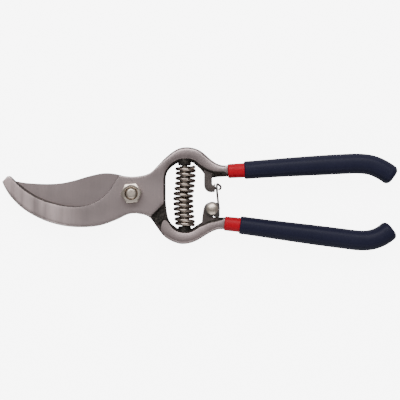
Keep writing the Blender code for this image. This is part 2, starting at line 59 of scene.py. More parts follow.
# one frame for every piece: millimetres here, metres in the meshes
pivotJoint = next(j for j in frame["record"]["behaviour"]["joints"] if j["name"] == "handle_pivot")
catchJoint = next(j for j in frame["record"]["behaviour"]["joints"] if j["name"] == "catch_swing")
shearZ = pivotJoint["pos_m"][2] / mm  # plane where the jaws slide on each other
forgingGap = 0.15 * mm                # each plate stands this far off it
rivetAt = np.array(catchJoint["pos_m"][:2]) / mm
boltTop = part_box("pivot_bolt")[1][2] / mm
nutLow, nutHigh = (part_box("pivot_nut")[k][2] / mm for k in (0, 1))


def mathStep(operation):
    step = {"operation": operation}
    return lambda self, other=0.0: self.bench.add("ShaderNodeMath", step, {0: self, 1: other})


class Wire:
    # a socket whose arithmetic adds Math nodes
    def __init__(self, bench, socket):
        self.bench = bench
        self.socket = socket

    __add__ = __radd__ = mathStep("ADD")
    __sub__ = mathStep("SUBTRACT")
    __mul__ = __rmul__ = mathStep("MULTIPLY")
    __truediv__ = mathStep("DIVIDE")
    least = mathStep("MINIMUM")
    most = mathStep("MAXIMUM")
    under = mathStep("LESS_THAN")
    size = mathStep("ABSOLUTE")
    sine = mathStep("SINE")
    cosine = mathStep("COSINE")

    def __rsub__(self, other):
        return self.bench.add("ShaderNodeMath", {"operation": "SUBTRACT"}, {0: other, 1: self})

    def clamped(self):
        return self.least(1.0).most(0.0)


class Bench:
    # a node tree, with one method that adds any node
    def __init__(self, tree):
        self.tree = tree

    def add(self, kind, settings=None, sockets=None, out=0):
        node = self.tree.nodes.new(kind)
        for name, value in (settings or {}).items():
            if name == "stops":
                self.setStops(node.color_ramp, value)
            else:
                setattr(node, name, value)
        for name, value in (sockets or {}).items():
            if isinstance(value, Wire):
                self.tree.links.new(value.socket, node.inputs[name])
            else:
                node.inputs[name].default_value = value
        return Wire(self, node.outputs[out])

    def setStops(self, ramp, stops):
        for element, (place, level) in zip(ramp.elements, stops):
            element.position = place
            element.color = (level, level, level, 1.0)

    def blendColour(self, factor, a, b):
        return self.add("ShaderNodeMix", {"data_type": "RGBA"}, {0: factor, 6: a, 7: b}, 2)

    def noise(self, where, scale, detail=3.0, rough=0.5):
        sockets = {"Vector": where, "Scale": scale, "Detail": detail, "Roughness": rough}
        return self.add("ShaderNodeTexNoise", {}, sockets)

    def streaks(self, where, scale, turn, detail=3.0, rough=0.6):
        # a noise drawn out into lines
        sockets = {"Vector": where, "Scale": scale, "Rotation": (0.0, 0.0, turn)}
        return self.noise(self.add("ShaderNodeMapping", {}, sockets), 1.0, detail, rough)

    def above(self, noise, low, high):
        # none where a noise is under the low level, all where it is over the high one
        return self.add("ShaderNodeValToRGB", {"stops": [(low, 0.0), (high, 1.0)]}, {"Fac": noise})

    def attribute(self, name):
        return self.add("ShaderNodeAttribute", {"attribute_name": name}, {}, 2)

    def place(self):
        return self.add("ShaderNodeTexCoord", {}, {}, 3)

    def parts(self, where):
        split = self.add("ShaderNodeSeparateXYZ", {}, {"Vector": where}).socket.node
        return [Wire(self, split.outputs[k]) for k in range(3)]


def startFinish(name):
    made = bpy.data.materials.new(name)
    made.use_nodes = True
    bench = Bench(made.node_tree)
    shader = made.node_tree.nodes["Principled BSDF"]
    return made, bench, shader


def connect(bench, shader, **inputs):
    # words of the socket names are joined by underscores
    for name, value in inputs.items():
        socket = shader.inputs[name.replace("_", " ").title().replace("Ior", "IOR")]
        if isinstance(value, Wire):
            bench.tree.links.new(value.socket, socket)
        else:
            socket.default_value = value


def bumpFrom(bench, height, strength, depth, under=None):
    sockets = {"Strength": strength, "Distance": depth, "Height": height}
    if under:
        sockets["Normal"] = under
    return bench.add("ShaderNodeBump", {}, sockets)


steelFinish = {
    "bare": (0.52, 0.420, 0.415, 1.0),      # ground face
    "shade": (0.40, 0.335, 0.335, 1.0),     # greyer patches on it
    "paintedSheen": (0.90, 0.735, 0.725, 1.0),  # painted highlight: the tip made brighter
    "sheenFrom": 24.0,                     # left of this X
    "sheenRun": 22.0,
    "sheenBandAcross": 120.0,                    # painted reflections: soft bright bands across the jaws, per metre
    "edge": (0.62, 0.54, 0.53, 1.0),        # worn bright edges, with painted highlight
    "scale": (0.022, 0.019, 0.017, 1.0),    # black forge scale; painted shade blends to it too
    "scaleWorn": (0.150, 0.128, 0.112, 1.0),
    "roughness": 0.40,
    "grindAcross": 2600.0,                  # lines per metre
    "grindAlong": 90.0,
    "wave": 34.0,                           # slow waves that polishing leaves, per metre
    "waveDeep": 0.0030,
    "rootFrom": 9.5,                        # the recesses are left unground right of this X
    "rootSteep": 500.0,                     # how sharply that starts, per metre
    "cloud": 38.0,                          # sizes of the patterns, all per metre
    "spots": 620.0,
    "rust": 900.0,
    "grain": 5200.0,
    "lineDeep": 0.00012,
}


def makeGroundSteel(name, lineTurn, tipSheen):
    made, bench, shader = startFinish(name)
    look = steelFinish
    here = bench.place()
    x, _, z = bench.parts(here)
    edge = bench.attribute("brightEdge")
    inRecess = (z - shearZ * mm).size().under(forgingGap * 2)
    root = inRecess * ((x - look["rootFrom"] * mm) * look["rootSteep"]).clamped()
    # forge scale and painted shade, read from the pieces' faces
    scale = bench.attribute("forgeScale").most(root)
    cloud = bench.noise(here, look["cloud"], 4.0, 0.55)
    lines = bench.streaks(here, (look["grindAcross"], look["grindAlong"], 200.0), lineTurn)
    grain = bench.noise(here, look["grain"], 2.0, 0.5)
    spots = bench.above(bench.noise(here, look["spots"], 3.0, 0.6), 0.60, 0.72)
    tone = (cloud * 1.7 - 0.35 + (lines - 0.5) * 0.55).clamped()
    ground = bench.blendColour(tone, look["shade"], look["bare"])
    # painted highlight and reflections: the jaws grow brighter towards the tip, in soft bands
    sheenBands = bench.streaks(here, (look["sheenBandAcross"], 16.0, 16.0), 0.25, 3.0, 0.55)
    sheen = ((0.0 - x - look["sheenFrom"] * mm) / (look["sheenRun"] * mm)).clamped()
    sheen = (sheen * tipSheen * (0.72 + (sheenBands - 0.5) * 4.2)).clamped()
    ground = bench.blendColour(sheen, ground, look["paintedSheen"])
    # rims lightened: edge wear and painted highlight
    ground = bench.blendColour((edge * 0.75).clamped(), ground, look["edge"])
    ground = bench.blendColour((spots * 0.10).clamped(), ground, look["scaleWorn"])
    rust = bench.noise(here, look["rust"], 4.0, 0.65)
    dark = bench.blendColour(bench.above(rust, 0.42, 0.78), look["scale"], look["scaleWorn"])
    ragged = (scale * 1.6 - 0.3 + (rust - 0.5) * 0.8 * scale * (1.0 - scale) * 4.0).clamped()
    colour = bench.blendColour(ragged, ground, dark)
    rough = look["roughness"] + (lines - 0.5) * 0.10 + (cloud - 0.5) * 0.12 + ragged * 0.12 - edge * 0.10
    waved = bumpFrom(bench, bench.noise(here, look["wave"], 1.0, 0.4), 0.5, look["waveDeep"])
    height = lines * 0.5 + grain * 0.2 + rust * ragged * 2.2
    connect(bench, shader, base_color=colour, roughness=rough.clamped(), metallic=1.0 - ragged * 0.35,
            normal=bumpFrom(bench, height, 0.22, look["lineDeep"], waved))
    return made


plateFinish = {
    "cloud": 240.0,                      # sizes of the patterns, per metre
    "rub": (900.0, 5200.0, 2400.0),
    "grime": 700.0,
    # dark colour of dirt; on the nut it is also painted shade
    "dirt": (0.045, 0.036, 0.030, 1.0),
    "scratchDeep": 0.00008,
}


def makePlate(name, colour, dull, roughness, scratch, dirt=0.28):
    # bright zinc or bare wire: a clean metal with rubbed and dull patches
    made, bench, shader = startFinish(name)
    look = plateFinish
    here = bench.place()
    cloud = bench.noise(here, look["cloud"], 4.0, 0.6)
    rubbed = bench.streaks(here, look["rub"], 0.5)
    grime = bench.above(bench.noise(here, look["grime"], 4.0, 0.6), 0.50, 0.75)
    # the grime attribute: dirt, and on the nut painted shade too
    corners = bench.attribute("grime") * (0.75 + grime * 0.25)
    skin = bench.blendColour((cloud * 1.6 - 0.3).clamped(), dull, colour)
    skin = bench.blendColour((grime * dirt).most(corners), skin, look["dirt"])
    rough = roughness + (rubbed - 0.5) * 0.16 + grime * 0.12
    connect(bench, shader, base_color=skin, roughness=rough.clamped(), metallic=1.0,
            normal=bumpFrom(bench, rubbed * 0.6 + grime * 0.4, scratch, look["scratchDeep"]))
    return made


vinylFinish = {
    "peel": 1500.0,                      # orange peel, bumps per metre
    "ripple": 120.0,                     # long soft ripples of the dip
    "cloud": 55.0,
    "dust": 3800.0,
    "scuff": (260.0, 1500.0, 900.0),
    "peelDepth": 0.00010,
    "shine": 0.22,
    "coatRoughness": 0.3,
}


def makeVinyl(name, colour, worn, roughness, coat):
    made, bench, shader = startFinish(name)
    look = vinylFinish
    here = bench.place()
    peel = bench.noise(here, look["peel"], 2.0, 0.5)
    ripple = bench.noise(here, look["ripple"], 2.0, 0.5)
    cloud = bench.noise(here, look["cloud"], 4.0, 0.6)
    dust = bench.above(bench.noise(here, look["dust"], 2.0, 0.5), 0.66, 0.76)
    scuff = bench.above(bench.streaks(here, look["scuff"], 0.0, 4.0, 0.7), 0.60, 0.78)
    dusty = (*(0.6 * c + 0.08 for c in worn[:3]), 1.0)
    skin = bench.blendColour((cloud * 1.5 - 0.35).clamped(), colour, worn)
    skin = bench.blendColour((dust * 0.10 + scuff * 0.14).clamped(), skin, dusty)
    rough = roughness + (cloud - 0.5) * 0.12 + scuff * 0.14 + dust * 0.1
    connect(bench, shader, base_color=skin, roughness=rough.clamped(), specular_ior_level=look["shine"],
            coat_weight=coat, coat_roughness=look["coatRoughness"],
            normal=bumpFrom(bench, peel * 0.5 + ripple * 1.6, 0.28, look["peelDepth"]))
    return made


hookSteel = makeGroundSteel("hook steel", 0.12, 1.0)
bladeSteel = makeGroundSteel("blade steel", 0.95, 0.12)
nutPlate = makePlate("nut plate", (1.0, 0.88, 0.77, 1.0), (0.66, 0.56, 0.48, 1.0), 0.27, 0.16, 0.14)
zincPlate = makePlate("zinc plate", (0.98, 0.86, 0.74, 1.0), (0.74, 0.63, 0.53, 1.0), 0.34, 0.12, 0.12)
pegSteel = makePlate("peg steel", (0.48, 0.42, 0.37, 1.0), (0.17, 0.14, 0.115, 1.0), 0.24, 0.10, 0.5)
springWire = makePlate("spring wire", (0.80, 0.68, 0.60, 1.0), (0.20, 0.16, 0.135, 1.0), 0.16, 0.08)
sheetSteel = makePlate("sheet steel", (0.27, 0.25, 0.24, 1.0), (0.13, 0.118, 0.110, 1.0), 0.30, 0.12)
redVinyl = makeVinyl("red vinyl", (0.60, 0.001, 0.014, 1.0), (0.67, 0.002, 0.020, 1.0), 0.44, 0.0)
navyVinyl = makeVinyl("navy vinyl", (0.011, 0.012, 0.036, 1.0), (0.019, 0.019, 0.048, 1.0), 0.54, 0.02)
print("finishes made")


def flowing(points, spacing):
    # points about a spacing apart along a smooth curve through the given ones
    given = [np.array(p, float) for p in points]
    given = [2 * given[0] - given[1]] + given + [2 * given[-1] - given[-2]]
    run = []
    for a, b, c, d in zip(given, given[1:], given[2:], given[3:]):
        count = max(1, round(float(np.linalg.norm(c - b)) / spacing))
        for k in range(count):
            t = k / count
            along = (c - a) * t + (2 * a - 5 * b + 4 * c - d) * t ** 2 + (3 * b - a - 3 * c + d) * t ** 3
            run.append(b + along / 2)
    run.append(given[-2])
    return run


def straight(points, spacing):
    run = []
    for a, b in zip(points, points[1:]):
        a, b = np.array(a, float), np.array(b, float)
        count = max(1, round(float(np.linalg.norm(b - a)) / spacing))
        run += [a + (b - a) * k / count for k in range(count)]
    return run + [np.array(points[-1], float)]


def joinRuns(*runs):
    outline = []
    for run in runs:
        for point in run:
            point = np.array(point, float)
            if not outline or np.linalg.norm(point - outline[-1]) > 0.03:
                outline.append(point)
    if np.linalg.norm(outline[0] - outline[-1]) < 0.03:
        outline.pop()
    return np.array(outline)


def arc(centre, radius, count, start, turn):
    angles = [start + turn * k / (count - 1) for k in range(count)]
    return [np.array(centre) + radius * np.array([math.cos(a), math.sin(a)]) for a in angles]


def outwardOf(outline):
    along = np.roll(outline, -1, axis=0) - np.roll(outline, 1, axis=0)
    along /= np.linalg.norm(along, axis=1)[:, None]
    return np.column_stack([along[:, 1], -along[:, 0]])


def smooth(value, low, high):
    t = np.clip((np.asarray(value, float) - low) / (high - low), 0.0, 1.0)
    return t * t * (3 - 2 * t)


def addObject(name, data):
    made = bpy.data.objects.new(name, data)
    bpy.context.scene.collection.objects.link(made)
    return made


def closeUp(shape, mesh):
    # turns every face outwards and writes the shape into the mesh
    bmesh.ops.recalc_face_normals(shape, faces=shape.faces)
    if shape.calc_volume(signed=True) < 0:
        bmesh.ops.reverse_faces(shape, faces=shape.faces)
    shape.to_mesh(mesh)
    shape.free()


def joinRings(shape, rings):
    count = len(rings[0])
    for low, high in zip(rings, rings[1:]):
        for k in range(count):
            after = (k + 1) % count
            shape.faces.new((low[k], low[after], high[after], high[k]))


def loft(name, rings):
    # a closed body through rings of equal size
    mesh = bpy.data.meshes.new(name)
    shape = bmesh.new()
    made = [[shape.verts.new([float(c) * mm for c in point]) for point in ring] for ring in rings]
    joinRings(shape, made)
    shape.faces.new(reversed(made[0]))
    shape.faces.new(made[-1])
    closeUp(shape, mesh)
    return addObject(name, mesh)


def block(name, outline, half):
    # a straight block, as thick on both sides of the shear plane
    return loft(name, [[(x, y, z) for x, y in outline] for z in (shearZ - half, shearZ + half)])


def roundedPrism(name, outline, low, high, radius, steps=3):
    # an outline pulled up from low to high, with rounded edges top and bottom
    outline = np.array(outline, float)
    outward = outwardOf(outline)
    levels = []
    for k in range(steps + 1):
        a = math.pi / 2 * (1 - k / steps)
        levels.append((radius * (1 - math.sin(a)), radius * (math.cos(a) - 1)))
    climb = [(low + up, reach) for up, reach in levels]
    climb += [(high - up, reach) for up, reach in reversed(levels)]
    return loft(name, [[(x, y, z) for x, y in outline + outward * reach] for z, reach in climb])


def centredPrism(name, outline, half, radius, steps=3):
    return roundedPrism(name, outline, shearZ - half, shearZ + half, radius, steps)


def turned(name, profile, centre, axis="Z", sides=64):
    rings = []
    for height, radius in profile:
        ring = []
        for k in range(sides):
            a = 2 * math.pi * (k + 0.5) / sides
            across, up = radius * math.cos(a), radius * math.sin(a)
            if axis == "Z":
                ring.append((centre[0] + across, centre[1] + up, height))
            else:
                ring.append((centre[0] + across, height, centre[1] + up))
        rings.append(ring)
    return loft(name, rings)


def combine(body, other, operation):
    # applies one Boolean step and takes the tool away
    step = body.modifiers.new(operation, "BOOLEAN")
    step.operation = operation
    step.solver = "EXACT"
    step.object = other
    settle(body)
    bpy.data.objects.remove(other, do_unlink=True)


def settle(body):
    # turns the evaluated shape into the body's own plain mesh
    graph = bpy.context.evaluated_depsgraph_get()
    mesh = bpy.data.meshes.new_from_object(body.evaluated_get(graph))
    body.modifiers.clear()
    body.data = mesh


def finishPiece(body, finish, rides, stands, sharp=32.0):
    body.data.materials.clear()
    body.data.materials.append(finish)
    body.data.polygons.foreach_set("material_index", [0] * len(body.data.polygons))
    body.data.shade_smooth()
    body.data.set_sharp_from_angle(angle=math.radians(sharp))
    body.data.update()
    if rides:
        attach(body, rides)
    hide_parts(stands)
    print(body.name, len(body.data.polygons), "faces")
    return body


def faceValues(body, name, rule):
    # stores one number per face, worked out from its centre (mm) and normal
    mesh = body.data
    count = len(mesh.polygons)
    centres = np.empty(count * 3)
    normals = np.empty(count * 3)
    mesh.polygons.foreach_get("center", centres)
    mesh.polygons.foreach_get("normal", normals)
    values = rule(centres.reshape(-1, 3) / mm, normals.reshape(-1, 3))
    layer = mesh.attributes.new(name, "FLOAT", "FACE")
    layer.data.foreach_set("value", np.asarray(values, dtype=np.float32))


handleLines = {
    "upper": [(52.2, 12.1), (62.7, 12.7), (85.5, 14.3), (113.3, 15.9),
              (124.0, 16.2), (131.0, 15.2), (136.8, 12.6), (141.6, 9.4)],
    "lower": [(50.4, -16.35), (59.4, -17.3), (74.1, -19.3), (91.5, -21.6), (113.3, -24.4),
              (123.5, -25.6), (130.3, -25.3), (136.0, -23.2), (140.8, -19.7)],
}


squareness = 2.6  # of the handles' oval sections: 2 is an ellipse


def crossSection(x, y, angle, halfWide, halfHigh, sides):
    ring = []
    for k in range(sides):
        a = 2 * math.pi * (k + 0.5) / sides
        across = math.copysign(abs(math.cos(a)) ** (2 / squareness), math.cos(a)) * halfWide
        up = math.copysign(abs(math.sin(a)) ** (2 / squareness), math.sin(a)) * halfHigh
        ring.append((x - math.sin(angle) * across, y + math.cos(angle) * across, shearZ + up))
    return ring


class HandleLine:
    # a handle's centre line, read by the distance along it, run on straight past its end
    def __init__(self, points, longer=0.0):
        self.path = np.array(flowing(points, 1.0))
        ahead = self.path[-1] - self.path[-2]
        end = self.path[-1] + ahead * max(longer, 0.001) / np.linalg.norm(ahead)
        self.path = np.vstack([self.path, end])
        steps = np.linalg.norm(np.diff(self.path, axis=0), axis=1)
        self.length = np.concatenate([[0.0], np.cumsum(steps)])
        self.total = float(self.length[-1])

    def at(self, s):
        return np.array([np.interp(s, self.length, self.path[:, k]) for k in (0, 1)])

    def angle(self, s):
        ahead = self.at(min(s + 1.0, self.total)) - self.at(max(s - 1.0, 0.0))
        return math.atan2(ahead[1], ahead[0])

    def ring(self, s, halfWide, halfHigh, sides):
        return crossSection(*self.at(s), self.angle(s), halfWide, halfHigh, sides)


tang = {
    "wide": 2.9,
    "high": 5.2,
    "neckHigh": 4.0,
    "shorter": 5.2,    # than the handle's line
    "lead": 4.0,       # how far its root reaches into the bar
    "round": 2.0,      # length of its rounded end
    "sides": 24,
}


def makeTang(side):
    line = HandleLine(handleLines[side])
    last = line.total - tang["shorter"]
    roundFrom = last - tang["round"]
    start, ahead = line.at(0.0), line.angle(0.0)
    root = start - tang["lead"] * np.array([math.cos(ahead), math.sin(ahead)])
    rings = [crossSection(*root, ahead, 0.7 * tang["wide"], 0.7 * tang["neckHigh"], tang["sides"])]
    for s in list(np.linspace(0.0, roundFrom, 40)) + [last - 1.0, last - 0.3, last]:
        part = max(0.0, (s - roundFrom) / tang["round"])
        high = tang["neckHigh"] + (tang["high"] - tang["neckHigh"]) * float(smooth(s, 1.0, 8.0))
        wide = tang["wide"] * (1 - 0.4 * part ** 2)
        rings.append(line.ring(s, wide, high * (1 - 0.25 * part ** 2), tang["sides"]))
    return loft(f"{side} tang", rings)


forging = {
    "half": 4.2,            # half thickness
    "gap": 0.15,            # each plate stands this far off the shear plane
    "draft": 1.5,           # inner walls stand out this far at mid height
    "barDraft": 1.6,        # more of it under the upper handle's bar
    "hookDraft": 0.55,      # the hook's concave wall leans out under its edge
    "outerRound": 1.75,
    "jawRound": 0.75,
    "innerRound": 0.42,
    "barUnder": 0.95,       # extra rounding under the handle bars
    "cuttingRound": 0.18,
    "crown": 0.40,          # the loops' faces fall away this much at their edges
    "jawCrown": 0.05,
    "barHalf": 3.1,         # half width of the loops' bars
    "crownRun": (18.0, 24.0),   # distances from the pivot between which the crown grows
    "faceTilt": 0.17,       # slope where the crown meets the rounded edge
    "capSpacing": 0.95,
    "parting": 0.10,        # height of the parting line left by the dies
    "wallLevels": (0.10, 0.22, 0.42, 0.64, 0.84),
    "spacing": 0.8,
    "frontRelief": 21.6,
    "rearRelief": 21.0,
    "bore": 3.3,
    "jawEnds": (12.0, 20.0),     # each pair: the change is spread between these X
    "draftGrows": (18.0, 23.0),
    "barsBegin": (36.0, 40.0),
    "openings": {"hook": (29.0, 4.0), "blade": (29.0, -6.0), "between": (29.0, -2.0)},
}


def distanceTo(outline, points):
    # shortest distance from each point to the closed outline
    a, b = outline, np.roll(outline, -1, axis=0)
    along = b - a
    away = points[:, None, :] - a[None]
    t = np.einsum("pki,ki->pk", away, along) / np.maximum(np.sum(along ** 2, axis=1), 1e-9)
    near = a[None] + np.clip(t, 0.0, 1.0)[:, :, None] * along[None]
    return np.min(np.linalg.norm(points[:, None, :] - near, axis=2), axis=1)


def insideOf(outline, points):
    x, y = points[:, 0][:, None], points[:, 1][:, None]
    (xa, ya), (xb, yb) = outline.T, np.roll(outline, -1, axis=0).T
    reached = (xb - xa) * (y - ya) / np.where(yb == ya, 1e-9, yb - ya) + xa
    return (((ya > y) != (yb > y)) & (x < reached)).sum(axis=1) % 2 == 1


def capPoints(outline, spacing):
    # an even field of points inside an outline
    low, high = outline.min(axis=0), outline.max(axis=0)
    across = np.arange(low[0], high[0], spacing)
    rows = np.arange(low[1], high[1], spacing * 0.87)
    field = np.array([(x + (k % 2) * spacing / 2, y) for k, y in enumerate(rows) for x in across])
    field = field[insideOf(outline, field)]
    return field[distanceTo(outline, field) > 0.55 * spacing]


def onLoop(points):
    # 0 on the plates and jaws, 1 on the loops and handles
    return smooth(np.hypot(points[:, 0], points[:, 1]), *forging["crownRun"]) * (points[:, 0] > 0)


def crownDrop(outline, points):
    # how far a loop's face falls away towards its edges; the plates and jaws stay flat
    reach = np.minimum(distanceTo(outline, points), forging["barHalf"]) / forging["barHalf"]
    looped = onLoop(points)
    return (forging["crown"] * looped + forging["jawCrown"] * (1 - looped)) * (1 - reach) ** 2


def addCap(shape, ring, outline, up):
    # closes a ring with a triangulated face that follows the crown
    flat = np.array([[v.co.x, v.co.y] for v in ring]) / mm
    field = capPoints(flat, forging["capSpacing"])
    heights = shearZ + up * (forging["half"] - crownDrop(outline, field))
    known = list(ring) + [shape.verts.new((x * mm, y * mm, z * mm)) for (x, y), z in zip(field, heights)]
    spots = [tuple(p) for p in flat] + [tuple(p) for p in field]
    found = delaunay_2d_cdt(spots, [], [list(range(len(ring)))], 1, 1e-6)
    for corners in found[2]:
        shape.faces.new([known[found[3][k][0]] for k in corners])


def forgeSlab(name, outline, draft, rounding, grind):
    # a forged bar: drafted wall, rounded edge, and a crowned face front and back
    outward = outwardOf(outline)
    edge = forging["half"] - crownDrop(outline, outline - outward * rounding[:, None])
    tilt = forging["faceTilt"] * onLoop(outline)
    straightUp = edge - rounding
    levels = [(t * straightUp, draft * math.cos(t * math.pi / 2) ** 1.3) for t in forging["wallLevels"]]
    for k in range(7):
        a = (math.pi / 2 - tilt) * k / 6
        levels.append((straightUp + rounding * np.sin(a), -rounding * (1 - np.cos(a))))
    partingLine = (0.0 * edge, draft + forging["parting"])
    mesh = bpy.data.meshes.new(name)
    shape = bmesh.new()
    rings = []
    for up, rows in ((-1, levels[::-1]), (1, [partingLine] + levels)):
        for height, reach in rows:
            flat = outline + outward * (reach - grind * (up < 0))[:, None]
            heights = shearZ + up * height
            rings.append([shape.verts.new((x * mm, y * mm, z * mm)) for (x, y), z in zip(flat, heights)])
    joinRings(shape, rings)
    addCap(shape, rings[0], outline, -1)
    addCap(shape, rings[-1], outline, 1)
    closeUp(shape, mesh)
    return addObject(name, mesh)


def facingOpening(outline, centre):
    toCentre = np.array(centre) - outline
    toCentre /= np.linalg.norm(toCentre, axis=1)[:, None]
    return np.sum(outwardOf(outline) * toCentre, axis=1)


def barInner(outline):
    # the side of the handle bars that faces the other handle
    way = outwardOf(outline)[:, 1] * (1 if outline[:, 1].mean() < -5.0 else -1)
    return smooth(way, 0.5, 0.9) * smooth(outline[:, 0], *forging["barsBegin"])


def evenly(points, count):
    # a smooth curve through the given points, as that many points the same distance apart
    run = np.array(flowing(points, 0.2))
    length = np.concatenate([[0.0], np.cumsum(np.linalg.norm(np.diff(run, axis=0), axis=1))])
    stops = np.linspace(0.0, length[-1], count)
    return np.column_stack([np.interp(stops, length, run[:, k]) for k in (0, 1)])


def reliefBlock(name, lowEdge, highEdge, low, high):
    # everything left of an edge that runs from below to above, sloping between its two heights
    far = np.array([[-95.0, 45.0], [-95.0, -45.0]])
    ends = ((np.vstack([lowEdge, far]), low), (np.vstack([highEdge, far]), high))
    return loft(name, [[(x, y, z) for x, y in edge] for edge, z in ends])


def edgeRounding(outline, facing):
    # widest round the outside of the loops, narrow on the jaws and inner walls, least at the bar's end
    x = outline[:, 0]
    jaw = 1.0 - smooth(x, *forging["jawEnds"])
    outer = forging["outerRound"] * (1 - jaw) + forging["jawRound"] * jaw
    inner = forging["innerRound"] + forging["barUnder"] * smooth(x, 36.0, 42.0)
    inside = np.maximum(smooth(facing, 0.2, 0.8) * smooth(x, 15.0, 18.0), barInner(outline))
    return (outer * (1 - inside) + inner * inside) * (1 - 0.85 * smooth(x, x.max() - 3.2, x.max() - 1.0))


def boreThrough(body, centre, radius):
    combine(body, turned("bore", [(-5.0, radius), (25.0, radius)], centre), "DIFFERENCE")


springSeat = {
    "x": 28.7,
    "bossRadius": 3.6,
    "bevel": 0.5,
    "holeRadius": 1.8,
    "upper": 15.2,
    "lower": -17.8,
    "deep": 2.5,
}


def addSeat(arm, fromY, seatY, way):
    # a boss that stands out of the loop, with a hole for the peg
    centre = (springSeat["x"], shearZ)
    wide, bevel = springSeat["bossRadius"], springSeat["bevel"]
    profile = [(seatY, wide - bevel), (seatY + way * bevel, wide), (fromY, wide)][::way]
    combine(arm, turned("seat", profile, centre, "Y", 48), "UNION")
    hole = [(y, springSeat["holeRadius"]) for y in (seatY - way, seatY + way * springSeat["deep"])]
    combine(arm, turned("seat hole", hole, centre, "Y", 32), "DIFFERENCE")


def hookOutline():
    gap = forging["spacing"]
    lower = flowing([
        (-70.2, 6.3), (-68.4, 2.4), (-64.9, -2.7), (-58.1, -9.0), (-48.0, -14.5), (-37.8, -17.5),
        (-27.6, -18.4), (-17.5, -17.5), (-8.5, -14.4), (-2.4, -11.5), (2.2, -10.9), (6.8, -11.6),
        (10.4, -12.5)], gap)
    plate = straight([(10.4, -12.5), (17.6, -5.7), (17.6, 4.6), (17.6, 8.0)], gap)
    inner = flowing([
        (17.6, 8.0), (18.1, 11.0), (19.6, 13.8), (22.0, 16.5), (25.4, 18.4), (29.4, 19.0), (33.6, 18.2),
        (37.2, 15.4), (40.6, 12.6), (44.4, 11.2), (48.5, 10.9), (53.0, 10.9)], gap)
    outer = flowing([
        (53.0, 15.2), (49.0, 15.3), (45.5, 16.6), (42.1, 19.1), (38.2, 22.5), (34.4, 24.4),
        (29.9, 25.1), (25.6, 24.4), (21.6, 22.1), (17.2, 18.3), (13.8, 14.7), (10.5, 11.5), (6.7, 9.9),
        (1.0, 9.1), (-4.0, 9.4), (-7.0, 9.9)], gap)
    edge = flowing([
        (-7.0, 9.9), (-9.4, 5.5), (-11.6, 2.0), (-14.4, -1.2), (-18.2, -4.0), (-23.0, -6.3),
        (-29.0, -7.4), (-35.6, -7.2), (-42.5, -5.8), (-49.0, -3.7), (-54.5, -0.9), (-60.0, 3.0),
        (-63.5, 6.5), (-66.5, 9.5)], gap)
    tip = straight([(-66.5, 9.5), (-67.5, 9.3), (-70.2, 6.3)], gap)
    return joinRuns(lower, plate, inner, outer, edge, tip)


def bladeOutline():
    gap = forging["spacing"]
    edge = flowing([
        (-65.8, 6.2), (-62.5, 2.3), (-57.0, -2.6), (-49.0, -7.0), (-40.0, -9.6), (-30.0, -10.4),
        (-20.0, -9.6), (-12.0, -8.4), (-5.0, -9.2), (1.5, -10.7), (6.5, -11.6)], gap)
    outer = flowing([
        (6.5, -11.6), (8.9, -12.6), (10.7, -14.2), (13.8, -18.5), (17.0, -22.7), (20.6, -25.4),
        (25.2, -27.2), (28.4, -27.5), (31.7, -27.0), (35.0, -25.8), (38.2, -24.0), (41.5, -21.9),
        (44.7, -20.3), (47.5, -19.5), (51.0, -19.5)], gap)
    inner = flowing([
        (51.6, -13.5), (48.5, -13.9), (45.5, -14.5), (41.6, -15.5), (37.1, -18.1), (32.7, -20.8),
        (28.8, -21.4), (24.6, -20.6), (21.4, -17.9), (19.6, -14.0), (18.8, -9.0), (18.4, -4.0),
        (18.0, 1.0), (17.4, 5.0)], gap)
    back = flowing([
        (11.0, 11.0), (7.0, 9.2), (1.0, 8.6), (-4.0, 9.4), (-8.5, 10.5), (-13.0, 11.0), (-17.5, 10.7),
        (-24.3, 9.1), (-31.0, 7.1), (-38.0, 5.6), (-45.0, 5.1), (-52.0, 5.3), (-58.5, 5.8),
        (-64.5, 6.9)], gap)
    return joinRuns(edge, outer, inner, straight([(17.4, 5.0), (11.0, 11.0)], gap), back)


def isWall(normal):
    # 1 where a face stands upright, 0 where it lies flat
    return 1 - smooth(np.abs(normal[:, 2]), 0.35, 0.80)


def armScaleAndShade(centre, normal, insideFrom, patches):
    # forge scale is left on the opening's inner walls, the spring's seats and the patches given; the walls
    # and some patches carry painted shade as well
    toOpening = np.sum((np.array(forging["openings"]["between"]) - centre[:, :2]) * normal[:, :2], axis=1)
    insideWall = isWall(normal) * smooth(toOpening, 0.5, 4.0) * smooth(centre[:, 0], *insideFrom)
    scaledAndShaded = [insideWall, wallSkinAndShade(centre, normal), onSeat(centre)] + patches
    return np.clip(np.maximum.reduce(scaledAndShaded), 0, 1)


def wallSkinAndShade(centre, normal):
    # painted shade: the walls are darkened, partly as a less well ground skin, most on the loops' walls that
    # face +Y
    loops = smooth(centre[:, 0], 8.0, 16.0) * smooth(normal[:, 1], -0.2, 0.3)
    return (0.56 + 0.24 * loops) * (1 - smooth(np.abs(normal[:, 2]), 0.40, 0.86))


def onSeat(centre):
    # the spring's seats keep their scale
    cx, cy, cz = centre.T
    near = np.hypot(cx - springSeat["x"], cz - shearZ) < springSeat["bossRadius"] + 0.1
    return 0.86 * near * ((np.abs(cy - 18.0) < 3.2) | (np.abs(cy + 20.5) < 3.2))


def hookGapShade(centre, normal):
    # painted shade: the hook's concave wall, where it faces the blade, is darkened, most towards its tip
    cx = centre[:, 0]
    facesBlade = smooth(normal[:, 1], 0.15, 0.3) * (1 - smooth(np.abs(normal[:, 2]), 0.86, 0.97))
    return (0.62 + 0.33 * smooth(-cx, 14.0, 32.0)) * facesBlade * smooth(-cx, 8.0, 11.0) * (cx > -64.5)


